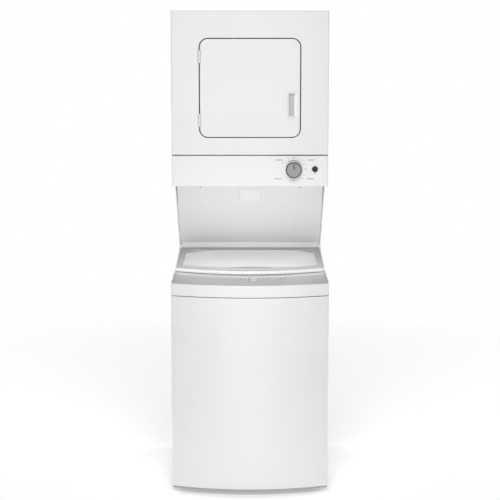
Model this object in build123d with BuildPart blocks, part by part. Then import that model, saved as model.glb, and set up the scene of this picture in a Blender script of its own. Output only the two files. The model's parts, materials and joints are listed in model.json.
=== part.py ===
from build123d import *
import math
import os

os.makedirs("parts", exist_ok=True)

# A stacked laundry centre: a top-loading washer, a stand behind its lid, and a dryer on the stand.
# Millimetres. X runs to the right, Y to the back, Z up. The floor is Z = 0 and the front faces -Y.

# Driving sizes of the whole stack
washer_width = 606
dryer_width = 596
dryer_height = 662
overall_depth = 684
front_bow = 52
connector_reach = 24
sheet = 1.5
thick_sheet = 2.0
moulding = 3.0
running_gap = 0.3

# Heights of the visible seams
base_bottom = 18
rail_height = 8
apron_bottom = 784.5
apron_height = 46
panel_seam = 2.5
fascia_rise = 30
dryer_bottom = 1200
console_height = 117.05
console_seam = 4

# Lid and stand
lid_thickness = 16
lid_front_inset = 15.5
lid_back_inset = 21.5
lid_back_y = 100
lid_setback = 59.15
lid_lift = 17.8
lid_slope = 4.76
lid_bow_ease = 2
stand_bottom_inset = 14
stand_top_inset = 1.5
stand_head_setback = 165

# Dryer front
dryer_setback = 40
door_width = 379.4
door_height = 369
door_corner = 31
door_gap = 3.4
door_drop = 16.925
knob_inset = 131.6
knob_height = 64
knob_radius = 30.4
button_inset = 50.3
button_height = 66
button_radius = 10.8

# Tub, basket and drum
tub_radius = 255
tub_height = 440
basket_radius = 225
drum_top_gap = 13.4
drum_side_gap = 24.5
throat_radius = 172

# Values that follow from the driving sizes
half_washer = washer_width / 2
half_dryer = dryer_width / 2
front_y = -overall_depth / 2
reach_y = overall_depth / 2
rear_y = reach_y - connector_reach
side_front_y = front_y + front_bow
bow_radius = (half_washer**2 + front_bow**2) / (2 * front_bow)
bow_centre_y = front_y + bow_radius
base_top = base_bottom + rail_height
apron_top = apron_bottom + apron_height
cabinet_top = apron_top + sheet
fascia_top = apron_top + fascia_rise
dryer_front = side_front_y + dryer_setback
inner_rear = rear_y - sheet
overall_height = dryer_bottom + dryer_height


# Y of the bowed washer front at a given X, set back from the outermost face
def bow_y(x, setback=0):
    return bow_centre_y - math.sqrt((bow_radius - setback) ** 2 - x**2)


# Closed plan outline with the bowed front edge, for the current sketch
def bowed_outline(half_width, setback, back_y, mode=Mode.ADD):
    corner_y = bow_y(half_width, setback)
    with BuildLine() as outline:
        front = ThreePointArc((-half_width, corner_y), (0, bow_y(0, setback)), (half_width, corner_y))
        Polyline(front @ 1, (half_width, back_y), (-half_width, back_y), front @ 0)
    make_face(outline.edges(), mode=mode)


# Solid made by turning a (radius, height) profile about the bow's upright axis between two X places
def bow_turned(profile, x_from, x_to):
    start = math.asin(x_from / bow_radius)
    turn = math.asin(x_to / bow_radius) - start
    section = Plane(
        origin=(0, bow_centre_y, 0),
        x_dir=(math.sin(start), -math.cos(start), 0),
        z_dir=(-math.cos(start), -math.sin(start), 0),
    )
    with BuildSketch(section) as face:
        with BuildLine():
            Polyline(*profile, close=True)
        make_face()
    revolve(face.sketch, axis=Axis((0, bow_centre_y, 0), (0, 0, 1)), revolution_arc=math.degrees(turn))


# Box between two corners
def block(x0, x1, y0, y1, z0, z1, mode=Mode.ADD):
    with Locations(((x0 + x1) / 2, (y0 + y1) / 2, (z0 + z1) / 2)):
        Box(x1 - x0, y1 - y0, z1 - z0, mode=mode)


# Round bars along X, Y and Z
def bar_x(y, z, radius, x0, x1, mode=Mode.ADD):
    with Locations(((x0 + x1) / 2, y, z)):
        Cylinder(radius, x1 - x0, rotation=(0, 90, 0), mode=mode)


def bar_y(x, z, radius, y0, y1, mode=Mode.ADD):
    with Locations((x, (y0 + y1) / 2, z)):
        Cylinder(radius, y1 - y0, rotation=(90, 0, 0), mode=mode)


def bar_z(x, y, radius, z0, z1, mode=Mode.ADD):
    with Locations((x, y, (z0 + z1) / 2)):
        Cylinder(radius, z1 - z0, mode=mode)


# Upright plane that faces the front, with its origin on the given centre
def front_plane(y, x=0, z=0):
    return Plane(origin=(x, y, z), x_dir=(1, 0, 0), z_dir=(0, -1, 0))


# Where a belt leaves one pulley and meets the other: the two straight runs as point pairs with their normals
def belt_runs(centre, radius, other_centre, other_radius):
    dx = other_centre[0] - centre[0]
    dy = other_centre[1] - centre[1]
    heading = math.atan2(dy, dx)
    spread = math.acos((radius - other_radius) / math.hypot(dx, dy))
    runs = []
    for angle in (heading + spread, heading - spread):
        normal = (math.cos(angle), math.sin(angle))
        here = (centre[0] + radius * normal[0], centre[1] + radius * normal[1])
        there = (other_centre[0] + other_radius * normal[0], other_centre[1] + other_radius * normal[1])
        runs.append((here, there, normal))
    return heading, runs


# Closed loop round two circles, as a face in the current sketch
def belt_face(centre, radius, other_centre, other_radius, mode=Mode.ADD):
    heading, runs = belt_runs(centre, radius, other_centre, other_radius)
    (start, start_there, _), (end, end_there, _) = runs
    far = (centre[0] - radius * math.cos(heading), centre[1] - radius * math.sin(heading))
    tip_x = other_centre[0] + other_radius * math.cos(heading)
    tip_y = other_centre[1] + other_radius * math.sin(heading)
    with BuildLine() as loop:
        ThreePointArc(start, far, end)
        Line(end, end_there)
        ThreePointArc(end_there, (tip_x, tip_y), start_there)
        Line(start_there, start)
    make_face(loop.edges(), mode=mode)


# Base pan of the washer: a shallow tray whose front edge is the dark rail under the front panel
base_rim = 14
rail_setback = 2
foot_inset = 58
front_foot_inset = 100
rear_foot_inset = 68
stud_radius = 5
boss_radius = 14
boss_height = 24
foot_x = half_washer - foot_inset
front_foot_y = side_front_y + front_foot_inset
rear_foot_y = rear_y - rear_foot_inset
foot_spots = [(x, y) for x in (-foot_x, foot_x) for y in (front_foot_y, rear_foot_y)]

with BuildPart() as washer_base:
    with BuildSketch(Plane.XY.offset(base_bottom)):
        bowed_outline(half_washer - rail_setback, rail_setback, rear_y)
    extrude(amount=rail_height)
    with BuildSketch(Plane.XY.offset(base_bottom + thick_sheet)):
        bowed_outline(half_washer - rail_setback - base_rim, rail_setback + base_rim, rear_y - base_rim)
    extrude(amount=rail_height, mode=Mode.SUBTRACT)
    for x, y in foot_spots:
        bar_z(x, y, boss_radius, base_bottom, base_bottom + boss_height)
    for x, y in foot_spots:
        bar_z(x, y, stud_radius + running_gap, 0, base_bottom + boss_height, mode=Mode.SUBTRACT)
washer_base.part.label = "washer_base"
export_step(washer_base.part, "parts/washer_base.step")

# Levelling feet: a pad, a hex collar that bears on the base, and a threaded stud
pad_radius = 20
pad_height = 8
stud_length = 30


def levelling_foot(x, y):
    bar_z(x, y, pad_radius, 0, pad_height)
    with BuildSketch(Plane.XY.offset(pad_height)) as collar:
        with Locations((x, y)):
            RegularPolygon(radius=2 * stud_radius, side_count=6)
    extrude(collar.sketch, amount=base_bottom - pad_height)
    bar_z(x, y, stud_radius, base_bottom, base_bottom + stud_length)


for side, side_name in ((-1, "left"), (1, "right")):
    with BuildPart() as front_foot:
        levelling_foot(side * foot_x, front_foot_y)
    front_foot.part.label = f"front_foot_{side_name}"
    export_step(front_foot.part, f"parts/front_foot_{side_name}.step")

with BuildPart() as rear_feet:
    levelling_foot(-foot_x, rear_foot_y)
    levelling_foot(foot_x, rear_foot_y)
rear_feet.part.label = "rear_feet"
export_step(rear_feet.part, "parts/rear_feet.step")

# Washer front: a bowed panel with rounded corners, and the apron of the same plan above it
corner_radius = 9
corner_return = 22
side_panel_front = side_front_y + corner_return
panel_top = apron_bottom - panel_seam


def bowed_shell(thickness, bottom, top):
    with BuildSketch(Plane.XY.offset(bottom)) as wall:
        bowed_outline(half_washer, 0, side_panel_front)
        fillet(vertices().group_by(Axis.Y)[0], corner_radius)
        inner_half = half_washer - thickness
        with BuildSketch(mode=Mode.SUBTRACT):
            bowed_outline(inner_half, thickness, side_panel_front + thickness)
            fillet(vertices().group_by(Axis.Y)[0], corner_radius - thickness)
    extrude(wall.sketch, amount=top - bottom)


with BuildPart() as washer_front_panel:
    bowed_shell(sheet, base_top, panel_top)
washer_front_panel.part.label = "washer_front_panel"
export_step(washer_front_panel.part, "parts/washer_front_panel.step")

apron_lip = 14
apron_wing = 41
with BuildPart() as washer_apron:
    bowed_shell(moulding, apron_bottom, apron_top)
    with BuildSketch(Plane.XY.offset(apron_top - moulding)):
        bowed_outline(half_washer - sheet, sheet, side_panel_front)
        fillet(vertices().group_by(Axis.Y)[0], corner_radius - sheet)
        bowed_outline(half_washer - apron_lip, apron_lip, side_panel_front + apron_lip, mode=Mode.SUBTRACT)
    extrude(amount=moulding)
    for side in (-1, 1):
        x0, x1 = sorted((side * (half_washer - apron_lip), side * (half_washer - sheet - running_gap)))
        block(x0, x1, side_panel_front, side_panel_front + apron_wing, apron_top - moulding, apron_top)
washer_apron.part.label = "washer_apron"
export_step(washer_apron.part, "parts/washer_apron.step")

# Washer sides: flat sheets with corner gussets that the suspension rods hang from
rod_inset = 63
rod_spread = 215
rod_radius = 4
gusset_margin = 19
gusset_width = 70
gusset_drop = 72
tub_y = (side_front_y + rear_y) / 2
rod_x = half_washer - rod_inset
gusset_z = cabinet_top - gusset_drop
rod_spots = [(x, tub_y + y) for x in (-rod_x, rod_x) for y in (-rod_spread, rod_spread)]

for side, side_name in ((-1, "left"), (1, "right")):
    outer, inner = side * half_washer, side * (half_washer - sheet)
    gusset_end = side * (rod_x - gusset_margin)
    with BuildPart() as washer_side:
        block(min(outer, inner), max(outer, inner), side_panel_front, inner_rear, base_top, cabinet_top)
        for x, y in rod_spots:
            if x * side > 0:
                y0, y1 = y - gusset_width / 2, y + gusset_width / 2
                block(min(gusset_end, inner), max(gusset_end, inner), y0, y1, gusset_z - thick_sheet, gusset_z)
                bar_z(x, y, rod_radius + running_gap, gusset_z - 2 * thick_sheet, gusset_z, mode=Mode.SUBTRACT)
    washer_side.part.label = f"washer_side_{side_name}"
    export_step(washer_side.part, f"parts/washer_side_{side_name}.step")

# Washer rear panel, with holes for the water inlets and the drain
inlet_inset = 108
inlet_spacing = 50
inlet_drop = 42
inlet_radius = 13.2
drain_x = 150
drain_z = 75
drain_radius = 12.7
hole_gap = 1.2
neck_step = 0.8
neck_reach = 1
inlet_x = inlet_inset - half_washer
inlet_z = cabinet_top - inlet_drop
inlet_spots = [inlet_x - inlet_spacing / 2, inlet_x + inlet_spacing / 2]
neck_end = rear_y + neck_reach

with BuildPart() as washer_rear_panel:
    block(-half_washer, half_washer, inner_rear, rear_y, base_top, cabinet_top)
    for x in inlet_spots:
        bar_y(x, inlet_z, inlet_radius + hole_gap, inner_rear - sheet, reach_y, mode=Mode.SUBTRACT)
    bar_y(drain_x, drain_z, drain_radius + hole_gap, inner_rear - sheet, reach_y, mode=Mode.SUBTRACT)
washer_rear_panel.part.label = "washer_rear_panel"
export_step(washer_rear_panel.part, "parts/washer_rear_panel.step")

# Control fascia: a bowed strip that leans back from the apron to the top cover, with a display window
fascia_setback = 60
fascia_skin = 3.5
fascia_foot = 7
fascia_bottom_inset = 5
fascia_top_inset = 9
fascia_cheek = 5
cheek_gap = 1.5
fascia_bottom_half = half_washer - fascia_bottom_inset
fascia_top_half = half_washer - fascia_top_inset
fascia_reach = half_washer * bow_radius / (bow_radius - fascia_setback)
display_from_x, display_to_x = -8, 36
display_low, display_high = 0.36, 0.72
display_depth = 1.2


# A point on the fascia's face, part of the way up, as (radius, height), sunk by a depth
def fascia_point(share, depth=0):
    return (bow_radius - fascia_setback * share, apron_top + fascia_rise * share - depth)


def display_profile():
    low, high = fascia_point(display_low), fascia_point(display_high)
    sunk_high, sunk_low = fascia_point(display_high, display_depth), fascia_point(display_low, display_depth)
    return [low, high, sunk_high, sunk_low]


with BuildPart() as display_lens:
    bow_turned(display_profile(), display_from_x, display_to_x)
display_lens.part.label = "display_lens"
export_step(display_lens.part, "parts/display_lens.step")

with BuildPart() as control_fascia:
    bow_turned(
        [
            fascia_point(0),
            fascia_point(1),
            fascia_point(1, fascia_skin),
            (bow_radius - fascia_foot, apron_top),
        ],
        -fascia_reach,
        fascia_reach,
    )
    for ends in ((-fascia_reach, fascia_cheek - fascia_top_half), (fascia_top_half - fascia_cheek, fascia_reach)):
        foot = (bow_radius - fascia_setback + cheek_gap, apron_top)
        bow_turned([fascia_point(0), fascia_point(1), (foot[0], fascia_point(1, fascia_skin)[1]), foot], *ends)
    with BuildSketch(front_plane(0)):
        with BuildLine():
            Polyline(
                (-fascia_bottom_half, apron_top),
                (fascia_bottom_half, apron_top),
                (fascia_top_half, fascia_top),
                (-fascia_top_half, fascia_top),
                close=True,
            )
        make_face()
    extrude(amount=-front_y, mode=Mode.INTERSECT)
    add(display_lens.part, mode=Mode.SUBTRACT)
control_fascia.part.label = "control_fascia"
export_step(control_fascia.part, "parts/control_fascia.step")

# Lid plane: its origin is the middle of the lid's back edge, its local Y runs up the slope to the back
lean = math.radians(lid_slope)
lid_bow = front_bow - lid_bow_ease
lid_depth = (lid_back_y - side_front_y - lid_setback) / math.cos(lean)
lid_back_z = fascia_top + lid_lift + (lid_depth + lid_bow) * math.sin(lean)
lid_plane = Plane(
    origin=(0, lid_back_y, lid_back_z),
    x_dir=(1, 0, 0),
    z_dir=(0, -math.sin(lean), math.cos(lean)),
)
lid_round = lid_thickness / 2
hinge_y = lid_back_y - lid_round * math.cos(lean) + lid_round * math.sin(lean)
hinge_z = lid_back_z - lid_round * math.sin(lean) - lid_round * math.cos(lean)
lid_half_front = half_washer - lid_front_inset
lid_half_back = half_washer - lid_back_inset
lid_arc_radius = (lid_half_front**2 + lid_bow**2) / (2 * lid_bow)
lid_arc_centre = -lid_depth - lid_bow + lid_arc_radius


# The lid's bowed front edge in the lid plane
def lid_edge(x, inset):
    return lid_arc_centre - math.sqrt((lid_arc_radius - inset) ** 2 - x**2)


# Closed outline of the lid, drawn in from its sides, front and back
def lid_outline(side_inset, front_inset, back_inset):
    half_front = lid_half_front - side_inset
    half_back = lid_half_back - side_inset
    corner = lid_edge(half_front, front_inset)
    with BuildLine() as outline:
        front = ThreePointArc((-half_front, corner), (0, lid_edge(0, front_inset)), (half_front, corner))
        Polyline(front @ 1, (half_back, -back_inset), (-half_back, -back_inset), front @ 0)
    make_face(outline.edges())


# Top cover: a moulded deck under the lid, a platform for the stand, a mouth over the basket, hinge bosses
cover_inset = 12
lid_clearance = 1
platform_drop = 5
lid_back_gap = 4
shoulder_height = 18
shoulder_setback = 64
mouth_side = 78
mouth_setback = 90
mouth_margin = 24
mouth_radius = 70
collar_drop = 20
trunnion_radius = 4
trunnion_length = 7
boss_gap = 1
hinge_boss_radius = 7.5
cover_half = half_washer - cover_inset
platform_z = lid_back_z - platform_drop
platform_front = lid_back_y + lid_back_gap
shoulder_front = side_front_y + shoulder_setback
mouth_width = washer_width - 2 * mouth_side
mouth_front = side_front_y + mouth_setback
mouth_back = lid_back_y - mouth_margin
collar_bottom = cabinet_top - collar_drop
boss_half_back = lid_half_back + trunnion_length
deck_drop = (lid_thickness + lid_clearance) / math.cos(lean)
mouth_centre_y = (mouth_front + mouth_back) / 2
mouth_depth = mouth_back - mouth_front


# Height of the deck under the lid
def deck_z(y):
    return lid_back_z - deck_drop + (y - lid_back_y) * math.tan(lean)


# Side profile of everything below the deck and the platform
def deck_profile(lowered, rear):
    with BuildLine() as profile:
        Polyline(
            (front_y, collar_bottom),
            (front_y, deck_z(front_y) - lowered),
            (platform_front + lowered, deck_z(platform_front + lowered) - lowered),
            (platform_front + lowered, platform_z - lowered),
            (rear, platform_z - lowered),
            (rear, collar_bottom),
            close=True,
        )
    make_face(profile.edges())


with BuildPart() as cover_hollow:
    with BuildSketch(Plane.XY.offset(collar_bottom)):
        bowed_outline(cover_half - moulding, fascia_setback + moulding, rear_y - moulding)
    extrude(amount=platform_z - collar_bottom)
    with BuildSketch(Plane.YZ.offset(-half_washer)):
        deck_profile(moulding, rear_y)
    extrude(amount=washer_width, mode=Mode.INTERSECT)

with BuildPart() as washer_top_cover:
    with BuildSketch(Plane.XY.offset(cabinet_top)):
        bowed_outline(cover_half, fascia_setback, rear_y)
    extrude(amount=platform_z - cabinet_top)
    with BuildSketch(Plane.XY.offset(cabinet_top)):
        with Locations((0, (shoulder_front + rear_y) / 2)):
            Rectangle(washer_width, rear_y - shoulder_front)
    extrude(
        amount=shoulder_height,
        taper=math.degrees(math.atan((half_washer - cover_half) / shoulder_height)),
    )
    add(cover_hollow.part, mode=Mode.SUBTRACT)
    with BuildSketch(Plane.XY.offset(collar_bottom)):
        with Locations((0, mouth_centre_y)):
            RectangleRounded(mouth_width + 2 * moulding, mouth_depth + 2 * moulding, mouth_radius + moulding)
    extrude(amount=platform_z - collar_bottom)
    with BuildSketch(Plane.YZ.offset(-half_washer)):
        deck_profile(0, rear_y)
    extrude(amount=washer_width, mode=Mode.INTERSECT)
    with BuildSketch(Plane.XY.offset(collar_bottom)):
        with Locations((0, mouth_centre_y)):
            RectangleRounded(mouth_width, mouth_depth, mouth_radius)
    extrude(amount=platform_z, mode=Mode.SUBTRACT)
    for side in (-1, 1):
        x0, x1 = sorted((side * (lid_half_back + boss_gap), side * boss_half_back))
        boss_front, boss_back = hinge_y - hinge_boss_radius, hinge_y + hinge_boss_radius
        block(x0, x1, boss_front, boss_back, deck_z(boss_front) - moulding, hinge_z)
        bar_x(hinge_y, hinge_z, hinge_boss_radius, x0, x1)
    bar_x(hinge_y, hinge_z, trunnion_radius + running_gap, -half_washer, half_washer, mode=Mode.SUBTRACT)
washer_top_cover.part.label = "washer_top_cover"
export_step(washer_top_cover.part, "parts/washer_top_cover.step")

# Lid: a moulded frame with trunnions, a glass pane let into it, and a nose along its front edge
bar_side = 25
bar_front = 46
bar_back = 58
pane_ledge = 8
pane_thickness = 4
pane_sink = 0.5
pane_gap = 0.4
nose_depth = 10
nose_drop = 1
nose_height = 12
lid_soft = 2

with BuildPart() as lid_frame:
    with BuildSketch(lid_plane):
        lid_outline(0, 0, 0)
    extrude(amount=-lid_thickness)
    fillet(lid_frame.edges().filter_by(Axis.X).group_by(Axis.Y)[-1], lid_round - running_gap)
    lid_top = lid_frame.faces().sort_by(Axis((0, 0, 0), lid_plane.z_dir))[-1]
    fillet(lid_top.edges().filter_by(GeomType.CIRCLE), lid_soft)
    with BuildSketch(lid_plane):
        lid_outline(bar_side, bar_front, bar_back)
    extrude(amount=-(pane_sink + pane_thickness), mode=Mode.SUBTRACT)
    with BuildSketch(lid_plane):
        lid_outline(bar_side + pane_ledge, bar_front + pane_ledge, bar_back + pane_ledge)
    extrude(amount=-lid_thickness, mode=Mode.SUBTRACT)
    for side in (-1, 1):
        x0, x1 = sorted((side * (lid_half_back - bar_side / 2), side * boss_half_back))
        bar_x(hinge_y, hinge_z, trunnion_radius, x0, x1)
lid_frame.part.label = "lid_frame"
export_step(lid_frame.part, "parts/lid_frame.step")

with BuildPart() as lid_glass:
    with BuildSketch(lid_plane.offset(-pane_sink)):
        lid_outline(bar_side + pane_gap, bar_front + pane_gap, bar_back + pane_gap)
    extrude(amount=-pane_thickness)
lid_glass.part.label = "lid_glass"
export_step(lid_glass.part, "parts/lid_glass.step")

with BuildPart() as lid_nose:
    with BuildSketch(lid_plane.offset(-nose_drop)):
        with BuildLine():
            edge_v = lid_edge(lid_half_front, 0)
            back = ThreePointArc((-lid_half_front, edge_v), (0, lid_edge(0, 0)), (lid_half_front, edge_v))
            front = ThreePointArc(
                (-lid_half_front, edge_v - nose_depth),
                (0, lid_edge(0, 0) - nose_depth),
                (lid_half_front, edge_v - nose_depth),
            )
            Line(back @ 0, front @ 0)
            Line(back @ 1, front @ 1)
        make_face()
    extrude(amount=-nose_height)
    fillet(lid_nose.faces().sort_by(Axis.Y)[0].edges().filter_by(GeomType.CIRCLE), nose_height / 3)
lid_nose.part.label = "lid_nose"
export_step(lid_nose.part, "parts/lid_nose.step")

# Outer tub with a rim, rod lugs and a bearing hole
tub_wall = 3
tub_rim = 48
lug_root = 4
lug_tip = 23.75
lug_width = 40
lug_height = 14
lug_lift = 65
tube_radius = 16
tub_gap = 7
tub_top = collar_bottom - tub_gap
tub_floor_z = tub_top - tub_height
lug_z = tub_floor_z + lug_lift
rod_hole = 9
rod_distance = math.hypot(rod_x, rod_spread)
lug_from = tub_radius - lug_root
lug_to = rod_distance + lug_tip

with BuildPart() as outer_tub:
    bar_z(0, tub_y, tub_radius, tub_floor_z, tub_top)
    for x, y in rod_spots:
        spin = math.degrees(math.atan2(y - tub_y, x))
        with BuildSketch(Plane(origin=(0, tub_y, lug_z)).rotated((0, 0, spin))):
            with Locations(((lug_from + lug_to) / 2, 0)):
                Rectangle(lug_to - lug_from, lug_width)
        extrude(amount=lug_height)
    bar_z(0, tub_y, tub_radius - tub_wall, tub_floor_z + tub_wall, tub_top - tub_wall, mode=Mode.SUBTRACT)
    bar_z(0, tub_y, tub_radius - tub_rim, tub_floor_z + tub_wall, tub_top, mode=Mode.SUBTRACT)
    bar_z(0, tub_y, tube_radius + running_gap, tub_floor_z, tub_top, mode=Mode.SUBTRACT)
    for x, y in rod_spots:
        bar_z(x, y, rod_hole, lug_z, lug_z + lug_height, mode=Mode.SUBTRACT)
outer_tub.part.label = "outer_tub"
export_step(outer_tub.part, "parts/outer_tub.step")

# Suspension rods: a cap on the gusset, the rod, and a spring cup under the tub's lug
cap_radius = 10
cup_radius = 16
cup_height = 70

with BuildPart() as suspension_rods:
    for x, y in rod_spots:
        bar_z(x, y, rod_radius, lug_z - cup_height, gusset_z)
        bar_z(x, y, cap_radius, gusset_z, gusset_z + cap_radius)
        bar_z(x, y, cup_radius, lug_z - cup_height, lug_z)
suspension_rods.part.label = "suspension_rods"
export_step(suspension_rods.part, "parts/suspension_rods.step")

# Wash basket with its spin tube, and the balance ring round its rim
basket_lift = 35
basket_rim_gap = 20
basket_wall = 1.5
ring_width = 34
ring_height = 40
spin_tube_length = 100
drive_radius = 9
basket_floor_z = tub_floor_z + basket_lift
basket_top = tub_top - basket_rim_gap
spin_tube_bottom = basket_floor_z - spin_tube_length

with BuildPart() as wash_basket:
    bar_z(0, tub_y, basket_radius, basket_floor_z, basket_top)
    bar_z(0, tub_y, basket_radius - basket_wall, basket_floor_z + basket_wall, basket_top, mode=Mode.SUBTRACT)
    bar_z(0, tub_y, tube_radius, spin_tube_bottom, basket_floor_z)
    bore_top = basket_floor_z + basket_wall
    bar_z(0, tub_y, drive_radius + running_gap, spin_tube_bottom, bore_top, mode=Mode.SUBTRACT)
wash_basket.part.label = "wash_basket"
export_step(wash_basket.part, "parts/wash_basket.step")

ring_outer = basket_radius - basket_wall
with BuildPart() as balance_ring:
    bar_z(0, tub_y, ring_outer, basket_top - ring_height, basket_top)
    bar_z(0, tub_y, ring_outer - ring_width, basket_top - ring_height, basket_top, mode=Mode.SUBTRACT)
    fillet(balance_ring.edges().group_by(Axis.Z)[-1].sort_by(SortBy.RADIUS)[0], ring_width / 4)
balance_ring.part.label = "balance_ring"
export_step(balance_ring.part, "parts/balance_ring.step")

# Wash plate: a low disc with four vanes, on the drive shaft that carries the big pulley below
plate_margin = 55
plate_radius = basket_radius - plate_margin
plate_gap = 2
plate_bottom = basket_floor_z + basket_wall + plate_gap
plate_thickness = 8
vane_count = 4
vane_height = 26
vane_width = 24
vane_length = 130
hub_radius = 38
pulley_drop = 159
pulley_bottom = tub_floor_z - pulley_drop
pulley_height = 18
drive_pulley_radius = 70
belt_thickness = 3
pulley_groove = 4

with BuildPart() as wash_plate:
    bar_z(0, tub_y, plate_radius, plate_bottom, plate_bottom + plate_thickness)
    bar_z(0, tub_y, hub_radius, plate_bottom, plate_bottom + vane_height)
    with BuildSketch(Plane(origin=(0, tub_y, plate_bottom))):
        with PolarLocations(hub_radius + vane_length / 2 - vane_width, vane_count):
            SlotOverall(vane_length, vane_width)
    extrude(amount=vane_height)
    fillet(wash_plate.edges().group_by(Axis.Z)[-1], vane_width / 6)
    bar_z(0, tub_y, drive_radius, plate_bottom, plate_bottom + plate_thickness, mode=Mode.SUBTRACT)
wash_plate.part.label = "wash_plate"
export_step(wash_plate.part, "parts/wash_plate.step")


# Grooved pulley on an upright shaft
def pulley_z(x, y, radius, bottom):
    bar_z(x, y, radius + pulley_groove, bottom, bottom + pulley_height)
    with BuildSketch(Plane(origin=(x, y, bottom + pulley_groove))) as groove:
        Circle(radius + pulley_groove)
        Circle(radius, mode=Mode.SUBTRACT)
    extrude(groove.sketch, amount=pulley_height - 2 * pulley_groove, mode=Mode.SUBTRACT)


with BuildPart() as drive_pulley:
    pulley_z(0, tub_y, drive_pulley_radius, pulley_bottom)
    bar_z(0, tub_y, drive_radius, pulley_bottom, plate_bottom + plate_thickness)
drive_pulley.part.label = "drive_pulley"
export_step(drive_pulley.part, "parts/drive_pulley.step")

# Gearcase under the tub, motor on a bracket beside it, and the belt between their pulleys
gearcase_radius = 75
gearcase_height = 113
bracket_top = tub_floor_z - gearcase_height
bracket_thickness = 6
motor_x = -150
motor_offset = 90
motor_y = tub_y + motor_offset
motor_radius = 58
motor_height = 95
motor_shaft = 6
motor_pulley_radius = 22
belt_width = 8

with BuildPart() as gearcase:
    bar_z(0, tub_y, gearcase_radius, bracket_top, tub_floor_z)
    fillet(gearcase.edges().group_by(Axis.Z)[0], gearcase_radius / 8)
    bar_z(0, tub_y, tube_radius + running_gap, bracket_top, tub_floor_z, mode=Mode.SUBTRACT)
gearcase.part.label = "gearcase"
export_step(gearcase.part, "parts/gearcase.step")

with BuildPart() as washer_motor:
    with BuildSketch(Plane.XY.offset(bracket_top - bracket_thickness)):
        belt_face((0, tub_y), gearcase_radius, (motor_x, motor_y), motor_radius)
    extrude(amount=bracket_thickness)
    bar_z(motor_x, motor_y, motor_radius, bracket_top, bracket_top + motor_height)
    bracket_bottom = bracket_top - bracket_thickness
    bar_z(motor_x, motor_y, motor_shaft + running_gap, bracket_bottom, bracket_top + motor_height,
          mode=Mode.SUBTRACT)
    bar_z(0, tub_y, tube_radius + running_gap, bracket_bottom, bracket_top, mode=Mode.SUBTRACT)
washer_motor.part.label = "washer_motor"
export_step(washer_motor.part, "parts/washer_motor.step")

with BuildPart() as motor_pulley:
    pulley_z(motor_x, motor_y, motor_pulley_radius, pulley_bottom)
    bar_z(motor_x, motor_y, motor_shaft, pulley_bottom, bracket_top + motor_height)
motor_pulley.part.label = "motor_pulley"
export_step(motor_pulley.part, "parts/motor_pulley.step")

with BuildPart() as washer_belt:
    with BuildSketch(Plane.XY.offset(pulley_bottom + (pulley_height - belt_width) / 2)):
        for skin, mode in ((running_gap + belt_thickness, Mode.ADD), (running_gap, Mode.SUBTRACT)):
            belt_face(
                (0, tub_y),
                drive_pulley_radius + skin,
                (motor_x, motor_y),
                motor_pulley_radius + skin,
                mode=mode,
            )
    extrude(amount=belt_width)
washer_belt.part.label = "washer_belt"
export_step(washer_belt.part, "parts/washer_belt.step")

# Drain pump on the base, with its pipe up to the tub and its spigot through the rear panel
pump_inset = 128
pump_y = rear_y - pump_inset
pump_radius = 42
pump_height = 95
pipe_radius = 17
pipe_wall = 2.5
pump_floor = base_bottom + thick_sheet

with BuildPart() as drain_pump:
    bar_z(drain_x, pump_y, pump_radius, pump_floor, pump_floor + pump_height)
    bar_z(drain_x, pump_y, pipe_radius, pump_floor, tub_floor_z)
    bar_y(drain_x, drain_z, drain_radius - neck_step, pump_y, reach_y)
    bar_y(drain_x, drain_z, drain_radius, neck_end, reach_y)
    bar_y(drain_x, drain_z, drain_radius - pipe_wall, pump_y, reach_y, mode=Mode.SUBTRACT)
drain_pump.part.label = "drain_pump"
export_step(drain_pump.part, "parts/drain_pump.step")

# Water inlet valve: two threaded spigots on a body behind the rear panel
valve_depth = 32
valve_half_height = 18

with BuildPart() as inlet_valve:
    block(
        inlet_spots[0] - inlet_radius,
        inlet_spots[1] + inlet_radius,
        inner_rear - valve_depth,
        inner_rear,
        inlet_z - valve_half_height,
        inlet_z + valve_half_height,
    )
    for x in inlet_spots:
        bar_y(x, inlet_z, inlet_radius - neck_step, inner_rear - valve_depth, reach_y)
        bar_y(x, inlet_z, inlet_radius, neck_end, reach_y)
        bar_y(x, inlet_z, inlet_radius - 2 * pipe_wall, inner_rear, reach_y, mode=Mode.SUBTRACT)
inlet_valve.part.label = "inlet_valve"
export_step(inlet_valve.part, "parts/inlet_valve.step")

# Stand: two leaning side panels, and a cover that is upright at its foot and slopes forward to the dryer
stand_edge = 4.5
cover_gap = 1.2
rail_inset = 1
rail_height_over = 25
rail_gap = 2
rail_front = platform_front + rail_gap
cover_skin = 2.5
stand_front = rail_front + cover_skin
stand_foot_z = platform_z + rail_height_over
stand_head_y = dryer_front + stand_head_setback
stand_rise = dryer_bottom - platform_z
cover_run = rail_front - stand_head_y
cover_rise = dryer_bottom - stand_foot_z
cover_angle = math.atan2(cover_rise, cover_run)
cover_depth = cover_skin / math.sin(cover_angle)
half_stand_bottom = half_washer - stand_bottom_inset
half_stand_top = half_dryer - stand_top_inset
rail_half = half_stand_bottom - rail_inset
stand_span = half_stand_bottom + half_stand_top


# Half width of the stand's outer faces at a height
def stand_half(z):
    return half_stand_bottom + (half_stand_top - half_stand_bottom) * (z - platform_z) / stand_rise


# Y of the sloped face at a height
def slope_y(z):
    return rail_front - cover_run * (z - stand_foot_z) / cover_rise


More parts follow.
